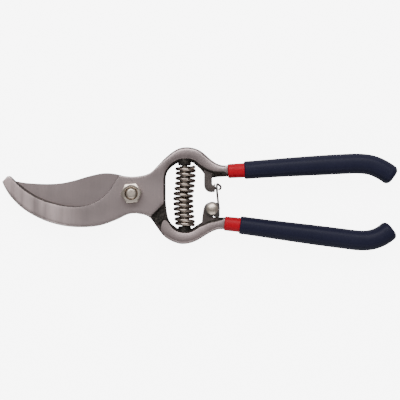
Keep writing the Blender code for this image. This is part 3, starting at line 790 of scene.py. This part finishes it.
def edgeWearAndSheenRule(centre, normal):
    # the narrow rounded rim between face and wall: edge wear and painted highlight on the jaws' rims that
    # don't face +Y
    tilt = np.abs(normal[:, 2])
    rim = smooth(tilt, 0.15, 0.45) * (1 - smooth(tilt, 0.90, 0.985))
    plain = np.maximum(smooth(centre[:, 0], 8.0, 16.0), smooth(normal[:, 1], 0.1, 0.3))
    return rim * smooth(np.abs(centre[:, 2] - shearZ), 2.2, 3.2) * 0.5 * (1 - plain)


keeper = {
    "half": 2.4,
    "round": 0.28,
    "toothHalf": 1.3,
    "tooth": [(44.4, 2.1), (46.4, 2.1), (46.4, 3.6), (44.4, 3.6)],
}


def addKeeper(arm):
    # the J that the catch holds: stem, foot with a small upturned lip, and a tooth for the catch's window
    stem = straight([(39.3, 14.5), (39.3, 5.0)], 0.8)
    stem += arc((43.2, 4.4), 3.85, 14, math.pi * 1.02, math.pi * 0.46)
    lip = [(45.2, 0.75), (45.3, 2.5), (45.42, 5.35), (45.1, 5.5), (44.9, 5.0)]
    floor = arc((44.3, 5.2), 0.6, 6, -math.pi * 0.15, -math.pi * 0.85)
    outline = joinRuns(stem, lip, floor, straight([(43.7, 5.4), (43.7, 12.5)], 0.8))
    combine(arm, centredPrism("keeper", outline, keeper["half"], keeper["round"]), "UNION")
    combine(arm, block("tooth", keeper["tooth"], keeper["toothHalf"]), "UNION")


def makeHookArm():
    outline = hookOutline()
    facing = facingOpening(outline, forging["openings"]["hook"])
    x, outwardY = outline[:, 0], outwardOf(outline)[:, 1]
    concave = ((outwardY > 0.1) & (x < -8.5) & (x > -66.0)).astype(float)
    rounding = edgeRounding(outline, facing)
    jaw = 1.0 - smooth(x, *forging["jawEnds"])
    rounding += 0.8 * jaw * smooth(-x, 20.0, 45.0) * smooth(-outwardY, 0.3, 0.7)
    rounding = rounding * (1 - concave) + forging["cuttingRound"] * concave
    rounding *= 0.45 + 0.55 * smooth(x, -70.5, -66.0)
    grown = 0.55 * smooth(x, 17.0, 17.5) + 0.45 * smooth(x, *forging["draftGrows"])
    draft = forging["draft"] * smooth(facing, 0.2, 0.8) * grown
    draft += forging["barDraft"] * barInner(outline) * smooth(x, 38.0, 43.0)
    draft += concave * (0.34 + forging["hookDraft"] * smooth(-x, 20.0, 52.0) * (1 - smooth(-x, 60.0, 64.0)))
    arm = forgeSlab("hook arm", outline, draft, rounding, np.zeros(len(outline)))
    rear = arc((0.0, 0.0), forging["rearRelief"], 40, -math.pi / 2, math.pi)
    combine(arm, reliefBlock("rear relief", rear, rear, -1.0, shearZ + forging["gap"]), "DIFFERENCE")
    combine(arm, makeTang("upper"), "UNION")
    addKeeper(arm)
    addSeat(arm, 20.5, springSeat["upper"], 1)
    boreThrough(arm, (0.0, 0.0), forging["bore"])
    arm.name = "hookArm"

    def scaleAndShadeRule(centre, normal):
        cx, cy, cz = centre.T
        onKeeper = smooth(cx, 38.8, 39.4) * smooth(-cy, -13.0, -9.5) * (np.abs(cz - shearZ) < 3.0)
        underBar = smooth(cx, *forging["barsBegin"]) * smooth(-normal[:, 1], 0.12, 0.40)
        reach = np.hypot(cx, cy)
        # painted shadow: a darker halo on the plate to the lower right of the nut
        nutShadow = (1 - smooth(reach, 5.4, 7.4)) * smooth(0.8 * cx - cy, -1.0, 3.0) * (cz > shearZ + 2.0)
        rearSide = (cz < shearZ + 1.0) * smooth(cx, 12.0, 16.0) * (normal[:, 2] < -0.5) * (reach < 24.0)
        return armScaleAndShade(centre, normal, (16.0, 18.5), [
            0.72 * onKeeper, 0.8 * rearSide, underBar, 0.30 * nutShadow, hookGapShade(centre, normal)])

    faceValues(arm, "forgeScale", scaleAndShadeRule)
    faceValues(arm, "brightEdge", edgeWearAndSheenRule)
    return finishPiece(arm, hookSteel, "upper_arm", "hook_arm")


lug = {
    "half": 2.5,
    "round": 0.35,
    "hole": 1.8,
    "left": [(37.9, -16.8), (38.5, -11.8), (38.9, -9.1), (39.4, -7.2), (40.3, -5.8), (41.4, -5.1)],
    "toe": [(44.3, -11.4), (44.4, -13.0), (46.0, -12.75), (47.5, -12.4), (47.7, -13.6), (47.9, -15.2)],
}


def addLug(arm):
    # the ear that the catch turns on, round about the rivet on its right side
    top = arc(rivetAt, 2.7, 22, math.radians(115), -math.radians(180))
    outline = joinRuns(flowing(lug["left"], 0.7), top, flowing(lug["toe"], 0.7))[::-1]
    combine(arm, centredPrism("lug", outline, lug["half"], lug["round"]), "UNION")
    boreThrough(arm, rivetAt, lug["hole"])


def makeBladeArm():
    outline = bladeOutline()
    facing = facingOpening(outline, forging["openings"]["blade"])
    x = outline[:, 0]
    rounding = edgeRounding(outline, facing) * (0.15 + 0.85 * smooth(x, -65.0, -50.0))
    draft = forging["draft"] * smooth(facing, 0.2, 0.8) * smooth(x, *forging["draftGrows"])
    down = smooth(-outwardOf(outline)[:, 1], 0.1, 0.7)
    grind = 2.6 * down * smooth(x, -64.0, -50.0) * smooth(-x, 10.0, 20.0)
    arm = forgeSlab("blade arm", outline, draft, rounding, grind)
    disc = arc((0.0, 0.0), forging["frontRelief"], 24, -math.radians(52), math.radians(142))
    foot = evenly([
        (8.0, -24.0), (11.0, -18.9), (13.2, -17.3), (14.8, -15.9), (16.0, -14.8), (17.1, -14.1),
        (18.4, -14.1), (19.5, -15.1), (20.6, -16.6), (22.6, -15.6), (22.0, -11.0)], 48)
    brow = evenly([
        (20.0, -27.0), (17.4, -22.6), (16.3, -20.4), (16.1, -18.4), (16.4, -16.4), (17.1, -14.9),
        (18.0, -14.5), (19.3, -15.3), (20.8, -16.7), (22.6, -15.6), (22.0, -11.0)], 48)
    beside = np.array([p for p in disc if p[1] > -8.0])
    low, high = shearZ - forging["gap"], shearZ + forging["half"]
    relief = reliefBlock("front relief", np.vstack([foot, beside]), np.vstack([brow, beside]), low, high)
    combine(arm, relief, "DIFFERENCE")
    combine(arm, makeTang("lower"), "UNION")
    addLug(arm)
    addSeat(arm, -23.0, springSeat["lower"], -1)
    boreThrough(arm, (0.0, 0.0), forging["bore"])
    arm.name = "bladeArm"

    def scaleAndShadeRule(centre, normal):
        cx, cy, cz = centre.T
        root = smooth(cx, 9.5, 11.5) * (np.abs(cz - (shearZ - forging["gap"])) < 0.2) * (normal[:, 2] > 0.5)
        step = isWall(normal) * (cz > shearZ - 0.3) * smooth(cx, 9.0, 12.0) * (1 - smooth(cx, 18.5, 22.0))
        onLug = (np.abs(cz - shearZ) < 3.0) * smooth(cx, 37.5, 38.3) * smooth(cy, -15.0, -13.5)
        overBar = smooth(cx, *forging["barsBegin"]) * smooth(normal[:, 1], 0.12, 0.40)
        # painted shade: the sloping shoulder left of the blade arm's finger is darkened
        shoulder = smooth(-cx, -18.5, -17.0) * smooth(cx, 8.0, 11.0) * smooth(-cy, 14.0, 15.5)
        shoulder = shoulder * (cz > shearZ) * (normal[:, 2] < 0.93)
        patches = [root, 0.95 * step, 0.72 * onLug, overBar, 0.62 * shoulder]
        return armScaleAndShade(centre, normal, (15.0, 18.0), patches)

    faceValues(arm, "forgeScale", scaleAndShadeRule)
    faceValues(arm, "brightEdge", edgeWearAndSheenRule)
    return finishPiece(arm, bladeSteel, "lower_arm", "blade_arm")


makeHookArm()
makeBladeArm()
print("arms forged")


pivot = {
    "shank": 3.0,
    "pitch": 1.0,
    "threadDeep": 0.32,
    "play": 0.12,           # between the nut's bore and the shank
    "threadFrom": 10.5,
    "headRadius": 5.6,
    "headHigh": 3.0,
    "flats": 10.0,
    "turned": 5.0,          # degrees that the nut stands round from square
    "crownRadius": 4.6,
    "crownSlope": 2.3,      # run over rise of the chamfer
    "sinkRadius": 3.6,
    "sides": 72,
    "end": ((-0.3, 2.45), (-0.12, 2.28), (-0.02, 1.9), (0.0, 1.3)),   # heights from the bolt's top, and radii
}


def threadRadius(z, turn):
    # a ridge that climbs one pitch a turn, fading out at both ends of the thread
    phase = (z / pivot["pitch"] - turn) % 1.0
    ridge = 1 - abs(2 * phase - 1)
    begun = float(smooth(z, pivot["threadFrom"], pivot["threadFrom"] + 1.0))
    fade = begun * (1 - float(smooth(z, boltTop - 0.9, boltTop - 0.4)))
    return pivot["shank"] - pivot["threadDeep"] * (1 - ridge) * fade


def boltRing(z, radiusAt):
    # a level ring whose radius may change round it; turn runs from 0 to 1
    turns = [k / pivot["sides"] for k in range(pivot["sides"])]
    ways = [(radiusAt(turn), 2 * math.pi * turn) for turn in turns]
    return [(radius * math.cos(a), radius * math.sin(a), z) for radius, a in ways]


def makePivotBolt():
    head, high, shank = pivot["headRadius"], pivot["headHigh"], pivot["shank"]
    profile = [(0.0, head - 0.9), (0.12, head - 0.45), (0.5, head - 0.08), (0.9, head), (high - 0.3, head),
               (high, head - 0.25), (high, shank + 0.25), (high + 0.3, shank)]
    rings = [boltRing(z, lambda turn: radius) for z, radius in profile]
    z = high + 0.8
    while z < boltTop - 0.35:
        widest = shank - 1.1 * max(0.0, z - (boltTop - 0.8))
        threaded = z > pivot["threadFrom"]
        rings.append(boltRing(z, lambda turn: min(threadRadius(z, turn) if threaded else shank, widest)))
        z += 0.5 if z < pivot["threadFrom"] - 0.5 else 0.125
    rings += [boltRing(boltTop + rise, lambda turn: radius) for rise, radius in pivot["end"]]
    bolt = loft("pivotBolt", rings)

    def grimeAndShadeRule(centre, normal):
        edge = smooth(np.hypot(centre[:, 0], centre[:, 1]), 2.35, 2.7)
        return 0.5 * edge * smooth(centre[:, 2], 11.0, 12.0)

    faceValues(bolt, "grime", grimeAndShadeRule)
    return finishPiece(bolt, zincPlate, "lower_arm", "pivot_bolt", 40.0)


def makePivotNut():
    corner, turn = pivot["flats"] / math.sqrt(3), math.radians(pivot["turned"])
    angles = [math.pi * k / 3 + turn for k in range(7)]
    corners = [np.array([math.cos(a), math.sin(a)]) * corner for a in angles]
    hexagon = [a + (b - a) * step / 6 for a, b in zip(corners, corners[1:]) for step in range(6)]
    nut = roundedPrism("pivotNut", hexagon, nutLow, nutHigh, 0.12, 2)
    flat, slope = pivot["crownRadius"], pivot["crownSlope"]
    crown = [(nutLow + up, flat + up * slope) for up in (-0.5, 0.5, 1.2)]
    crown += [(nutHigh - down, flat + down * slope) for down in (1.2, 0.5, -0.5)]
    combine(nut, turned("crown", crown, (0.0, 0.0), "Z", 96), "INTERSECT")
    boreThrough(nut, (0.0, 0.0), pivot["shank"] + pivot["play"])
    wider = pivot["sinkRadius"] - pivot["shank"]
    sink = [(nutHigh - 0.9, pivot["shank"]), (nutHigh + 0.45, pivot["shank"] + 1.5 * wider)]
    combine(nut, turned("countersink", sink, (0.0, 0.0), "Z", 96), "DIFFERENCE")

    def grimeAndShadeRule(centre, normal):
        cx, cy, _ = centre.T
        # painted shade: the countersink is darker towards its top (+Y), the nut's top a little darker towards
        # its bottom, over a light ring of grime in the sink
        ring = (0.16 + 0.62 * smooth(cy, 0.8, 2.6)) * (1 - smooth(np.hypot(cx, cy), 3.0, 3.6))
        return np.maximum(ring, 0.16 * smooth(-cy, 2.4, 4.4) * (normal[:, 2] > 0.2))

    faceValues(nut, "grime", grimeAndShadeRule)
    return finishPiece(nut, nutPlate, "lower_arm", "pivot_nut", 20.0)


makePivotBolt()
makePivotNut()
print("pivot made")


spring = {
    "turns": 12,
    "stepsPerTurn": 40,
    "meanRadius": 4.74,
    "wireRadius": 0.88,
    "wireSides": 16,
    "low": -18.0,
    "high": 15.3,
    "shift": 0.4,      # of the coil's axis away from the pivot
    "bow": 1.1,        # how far the coil bows towards the pivot
    "lean": 2.2,       # how far its upper half leans the other way
    "endGap": 0.12,    # gap left between the closed end turns
    "startTurn": 0.05,
}


def springTree(finish):
    tree = bpy.data.node_groups.new("coil spring", "GeometryNodeTree")
    sizes = {
        "Turns": spring["turns"], "Steps per turn": spring["stepsPerTurn"], "Start turn": spring["startTurn"]}
    lengths = {
        "Mean radius": spring["meanRadius"], "Wire radius": spring["wireRadius"], "Low end": spring["low"],
        "High end": spring["high"], "Axis": springSeat["x"] + spring["shift"], "Height": shearZ,
        "Bow": spring["bow"], "Lean": spring["lean"], "End gap": spring["endGap"],
    }
    sizes.update({name: length * mm for name, length in lengths.items()})
    for name in sizes:
        tree.interface.new_socket(name, in_out="INPUT", socket_type="NodeSocketFloat")
    tree.interface.new_socket("Geometry", in_out="OUTPUT", socket_type="NodeSocketGeometry")
    bench = Bench(tree)
    given = tree.nodes.new("NodeGroupInput")
    value = {name: Wire(bench, given.outputs[name]) for name in sizes}
    turns, radius, wire = value["Turns"], value["Mean radius"], value["Wire radius"]
    count = turns * value["Steps per turn"] + 1.0
    line = bench.add("GeometryNodeMeshLine", {}, {"Count": count})
    wound = bench.add("GeometryNodeInputIndex") / value["Steps per turn"]
    low, high = value["Low end"] + wire, value["High end"] - wire
    closed = wire * 2.0 + value["End gap"]
    free = (high - low - closed * 2.0) / (turns - 2.0)
    rise = closed * wound.least(1.0) + free * (wound - 1.0).most(0.0).least(turns - 2.0)
    rise = rise + closed * (wound - (turns - 1.0)).most(0.0)
    y = low + rise
    part = (y - (low + high) * 0.5) / ((high - low) * 0.5)
    middle = 1.0 - part * part
    centre = value["Axis"] - value["Bow"] * middle + value["Lean"] * part.most(0.0) * middle
    angle = (wound + value["Start turn"]) * (2 * math.pi)
    spot = bench.add("ShaderNodeCombineXYZ", {}, {
        "X": centre + radius * angle.cosine(), "Y": y, "Z": value["Height"] + radius * angle.sine()})
    moved = bench.add("GeometryNodeSetPosition", {}, {"Geometry": line, "Position": spot})
    path = bench.add("GeometryNodeMeshToCurve", {}, {"Mesh": moved})
    section = {"Resolution": spring["wireSides"], "Radius": wire}
    profile = bench.add("GeometryNodeCurvePrimitiveCircle", {"mode": "RADIUS"}, section)
    swept = {"Curve": path, "Profile Curve": profile, "Fill Caps": True}
    tube = bench.add("GeometryNodeCurveToMesh", {}, swept)
    shaded = bench.add("GeometryNodeSetShadeSmooth", {}, {"Geometry": tube})
    real = bench.add("GeometryNodeRealizeInstances", {}, {"Geometry": shaded})
    done = bench.add("GeometryNodeSetMaterial", {}, {"Geometry": real, "Material": finish})
    out = tree.nodes.new("NodeGroupOutput")
    tree.links.new(done.socket, out.inputs["Geometry"])
    return tree, sizes


def makeReturnSpring():
    tree, sizes = springTree(springWire)
    body = addObject("returnSpring", bpy.data.meshes.new("returnSpring"))
    step = body.modifiers.new("coil", "NODES")
    step.node_group = tree
    for item in tree.interface.items_tree:
        if item.in_out == "INPUT":
            step[item.identifier] = float(sizes[item.name])
    settle(body)
    shape = bmesh.new()
    shape.from_mesh(body.data)
    bmesh.ops.remove_doubles(shape, verts=shape.verts, dist=1e-7)
    closeUp(shape, body.data)
    finishPiece(body, springWire, None, "return_spring", 50.0)
    low, high = ((springSeat["x"] * mm, spring[end] * mm, shearZ * mm) for end in ("low", "high"))
    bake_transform(body)


makeReturnSpring()


peg = {
    "radius": 2.65,
    "spigot": 1.5,
    "shoulderGap": 0.3,
    "into": 2.0,        # how far the spigot goes into the seat
    "groove": 0.22,
    "tip": 0.9,
    "upperEnd": 0.4,
    "lowerEnd": -2.0,
}


def makePeg(name, seatY, endY, rides, stands):
    way = 1.0 if endY > seatY else -1.0
    shoulder = seatY + way * peg["shoulderGap"]
    spigot, wide, grooved = peg["spigot"], peg["radius"], peg["radius"] - peg["groove"]
    profile = [(seatY - way * peg["into"], spigot - 0.3), (seatY - way * (peg["into"] - 0.3), spigot),
               (shoulder, spigot), (shoulder, wide - 0.2), (shoulder + way * 0.2, wide)]
    for back, radius in ((3.4, wide), (3.2, grooved), (2.7, grooved), (2.5, wide)):
        profile.append((endY - way * back, radius))
    for k in range(6):
        a = math.pi / 2 * k / 5
        profile.append((endY - way * peg["tip"] * (1 - math.sin(a)), wide - peg["tip"] * (1 - math.cos(a))))
    body = turned(name, profile, (springSeat["x"], shearZ), "Y", 48)
    return finishPiece(body, pegSteel, rides, stands, 35.0)


makePeg("upperSpringPeg", springSeat["upper"], peg["upperEnd"], "upper_arm", "upper_spring_peg")
makePeg("lowerSpringPeg", springSeat["lower"], peg["lowerEnd"], "lower_arm", "lower_spring_peg")
print("spring and pegs made")


catch = {
    "sheet": 1.15,
    "lowHalf": 3.8,       # half width at the ears
    "topHalf": 3.0,
    "slotHalf": 2.8,
    "windowHalf": 1.7,
    "earRadius": 3.9,
    "rise": [(47.45, -8.7), (46.95, -4.6), (46.5, -0.4), (46.25, 3.4),
             (46.3, 4.5), (46.65, 5.1), (47.15, 4.75)],
    "curlCentre": (47.75, 3.3),
    "curlReach": (0.62, 1.0),
    "rim": 0.16,
    "window": [(45.3, 0.9), (46.85, 0.9), (46.85, 3.9), (45.3, 3.9)],
    # what is cut out between the ears, and under them
    "slot": [(37.0, -14.5), (46.9, -14.5), (46.8, -8.75), (46.35, -3.0), (37.0, -3.0)],
    "foot": [(37.0, -14.5), (49.5, -14.5), (49.5, -8.75), (37.0, -8.75)],
}


def strapRings():
    # the sheet's section, carried up the strap and round its curl
    rise = flowing(catch["rise"], 0.35)
    curl = arc((0.0, 0.0), 1.0, 22, math.radians(85), -math.radians(215))
    path = np.array(rise + [np.array(catch["curlCentre"]) + np.array(catch["curlReach"]) * p for p in curl])
    along = np.gradient(path, axis=0)
    along /= np.linalg.norm(along, axis=1)[:, None]
    across = np.column_stack([along[:, 1], -along[:, 0]])
    thick, rim = catch["sheet"] / 2, catch["rim"]
    rings = []
    for point, side in zip(path, across):
        half = catch["lowHalf"] + (catch["topHalf"] - catch["lowHalf"]) * float(smooth(point[1], -7.0, -2.0))
        lower = [(-thick, rim - half), (rim - thick, -half), (thick - rim, -half), (thick, rim - half)]
        upper = [(out, -up) for out, up in reversed(lower)]
        rings.append([(*(point + side * out), shearZ + up) for out, up in lower + upper])
    return rings


def makeCatchStrap():
    strap = loft("catchStrap", strapRings())
    roundSide = arc(rivetAt, catch["earRadius"], 34, math.radians(60), math.radians(220))
    underside = [(44.9, -12.8), (46.6, -12.85), (47.6, -12.55), (47.85, -12.2), (47.8, -8.6), (47.3, -4.6)]
    outline = joinRuns(roundSide, straight(underside, 0.8))
    ears = centredPrism("ears", outline, catch["lowHalf"], catch["rim"], 2)
    for name in ("slot", "foot"):
        combine(ears, block(name, catch[name], catch["slotHalf"]), "DIFFERENCE")
    boreThrough(ears, rivetAt, lug["hole"])
    combine(strap, ears, "UNION")
    combine(strap, block("window", catch["window"], catch["windowHalf"]), "DIFFERENCE")
    return finishPiece(strap, sheetSteel, "catch", "catch_strap", 30.0)


rivet = {
    "headRadius": 3.15,
    "rimSlope": 0.66,   # of the dome at its rim, in radians
    "shank": 1.5,
    "under": 0.12,      # gap under the head
    "rim": 0.35,        # height of the head's rim
}


def makeCatchRivet():
    half, slope = catch["lowHalf"] + rivet["under"], rivet["rimSlope"]
    sphere = rivet["headRadius"] / math.sin(slope)
    head = [(half, rivet["headRadius"] - 0.15), (half + 0.08, rivet["headRadius"])]
    for a in np.linspace(slope, 0.04, 12):
        head.append((half + rivet["rim"] + sphere * (math.cos(a) - math.cos(slope)), sphere * math.sin(a)))
    profile = [(shearZ - z, r) for z, r in reversed(head)]
    profile += [(shearZ - half, rivet["shank"]), (shearZ + half, rivet["shank"])]
    profile += [(shearZ + z, r) for z, r in head]
    body = turned("catchRivet", profile, rivetAt)
    return finishPiece(body, zincPlate, "lower_arm", "catch_rivet", 45.0)


makeCatchStrap()
makeCatchRivet()
print("catch made")


coats = {
    "underWide": 3.9, "underSwell": 0.15, "underHigh": 6.2, "underWall": 0.7,
    "gripWide": 4.88, "gripSwell": 0.6, "gripHigh": 7.5, "gripWall": 1.0,
    "underPast": -2.6, "gripPast": 0.9,        # how far each runs past the end of the handle's line
    "underLip": 0.7, "gripLip": 0.8,
    "redBand": {"upper": 9.0, "lower": 8.4},   # length of the undercoat that shows
    "gap": 0.3,
    "sides": 48,
    "outsideEnd": (2.6, 0.48, 1.3),            # length of the rounded end, how much it narrows, ring spacing
    "insideEnd": (2.4, 0.5, 3.0),
    "underMouth": 0.22,                        # gaps at the mouths
    "gripMouth": 0.03,
}


def underOuter(s):
    # half widths of the coats at a distance along the handle
    return coats["underWide"] + coats["underSwell"] * float(smooth(s, 2.0, 14.0))


def underInner(s):
    return tang["wide"] + coats["gap"]


def gripInner(s):
    return underOuter(s) + coats["gap"]


def gripOuter(s):
    return coats["gripWide"] + coats["gripSwell"] * float(smooth(s, 8.0, 60.0))


def dipRings(line, wide, high, start, last, roundEnd, endShrink, spacing):
    stops = list(np.arange(start, last - roundEnd, spacing))
    stops += [last - roundEnd * (1 - math.sin(a)) for a in np.linspace(0.0, math.pi / 2, 10)]
    rings = []
    for s in stops:
        part = max(0.0, (s - (last - roundEnd)) / roundEnd)
        shrink = 1 - endShrink * (1 - math.sqrt(max(0.0, 1 - part ** 2)))
        rings.append(line.ring(s, wide(s) * shrink, high * (1 - 0.7 * (1 - shrink)), coats["sides"]))
    return rings


def makeCoat(name, side, layer, outer, inner, start, covered):
    # a sleeve of one dip: inside, rounded lip at its mouth, outside and closed end
    high, wall, past, lip = (coats[layer + part] for part in ("High", "Wall", "Past", "Lip"))
    line = HandleLine(handleLines[side], max(0.0, past))
    last = line.total + min(0.0, past)
    outside = dipRings(line, outer, high, start + lip, last, *coats["outsideEnd"])
    inside = dipRings(line, inner, high - wall, start + 2.5, last - wall, *coats["insideEnd"])
    coveredWide, coveredHigh = covered
    mouth = [line.ring(start + 1.6, coveredWide, coveredHigh, coats["sides"])]
    for a in np.linspace(0.0, math.pi / 2, 7)[:-1]:
        part = math.sin(a)
        wide = coveredWide + (outer(start) - coveredWide) * part
        tall = coveredHigh + (high - coveredHigh) * part
        mouth.append(line.ring(start + lip * (1 - math.cos(a)), wide, tall, coats["sides"]))
    return loft(name, inside[::-1] + mouth + outside)


def dipHandle(side, rides):
    onTang = (tang["wide"] + coats["underMouth"], tang["neckHigh"] + coats["underMouth"])
    under = makeCoat(f"{side}GripUndercoat", side, "under", underOuter, underInner, 0.0, onTang)
    finishPiece(under, redVinyl, rides, f"{side}_grip_undercoat", 60.0)
    start = coats["redBand"][side]
    onUnder = (underOuter(start) + coats["gripMouth"], coats["underHigh"] + coats["gripMouth"])
    grip = makeCoat(f"{side}Grip", side, "grip", gripOuter, gripInner, start, onUnder)
    finishPiece(grip, navyVinyl, rides, f"{side}_grip", 60.0)


dipHandle("upper", "upper_arm")
dipHandle("lower", "lower_arm")
print("grips dipped")


studio = {
    "floor": ((0.86, 0.86, 0.86, 1.0), (0.88, 0.88, 0.88, 1.0)),
    "floorReach": 1.2,
    "grain": 400.0,
    "glow": 7.0,               # light table under the tool
    "world": 0.20,
    "cameraHigh": 0.85,
    "spanWide": 0.2175,        # width of view at the tool
    "viewCentre": (0.0371, -0.0036),
    "viewPlane": 0.009,
    "aim": (0.03, 0.0, 0.0),   # what the lamps point at
    "lamps": {                 # place, size and power
        "window box": ((-0.05, 0.72, 0.85), (1.3, 0.6), 11.0),
        "low fill": ((0.05, -0.85, 0.55), (1.2, 0.45), 2.1),
        "top card": ((0.03, 0.06, 1.1), (0.9, 0.30), 0.40),
    },
}


def makeFloor():
    mesh = bpy.data.meshes.new("floor")
    reach = studio["floorReach"]
    corners = [(-reach, -reach, 0), (reach, -reach, 0), (reach, reach, 0), (-reach, reach, 0)]
    mesh.from_pydata(corners, [], [(0, 1, 2, 3)])
    made, bench, shader = startFinish("studio paper")
    paper = bench.blendColour(bench.noise(bench.place(), studio["grain"]), *studio["floor"])
    seen = bench.add("ShaderNodeLightPath")     # the light table's glow fills the view and lights nothing
    glow = bench.blendColour(seen, (0.0, 0.0, 0.0, 1.0), (1.0, 1.0, 1.0, 1.0))
    connect(bench, shader, base_color=paper, roughness=0.9,
            emission_color=glow, emission_strength=studio["glow"])
    mesh.materials.append(made)
    addObject("floor", mesh)


def makeLamp(name, place, size, power):
    light = bpy.data.lights.new(name, "AREA")
    light.shape = "RECTANGLE"
    light.size, light.size_y = size
    light.energy = power
    lamp = addObject(name, light)
    lamp.location = place
    turn = np.array(studio["aim"]) - np.array(place)
    yaw = math.atan2(turn[1], turn[0]) - math.pi / 2
    pitch = math.atan2(math.hypot(turn[0], turn[1]), -turn[2])
    lamp.rotation_euler = (pitch, 0.0, yaw)


def makeCamera():
    lens = bpy.data.cameras.new("camera")
    distance = studio["cameraHigh"] - studio["viewPlane"]
    lens.lens = lens.sensor_width * distance / studio["spanWide"]
    lens.clip_start = 0.01
    camera = addObject("camera", lens)
    camera.location = (*studio["viewCentre"], studio["cameraHigh"])
    bpy.context.scene.camera = camera


def makeSky():
    world = bpy.data.worlds.new("studio")
    world.use_nodes = True
    background = world.node_tree.nodes["Background"]
    background.inputs["Color"].default_value = (1.0, 1.0, 1.0, 1.0)
    background.inputs["Strength"].default_value = studio["world"]
    bpy.context.scene.world = world


makeFloor()
makeSky()
for name, settings in studio["lamps"].items():
    makeLamp(name, *settings)
makeCamera()
print("studio set")
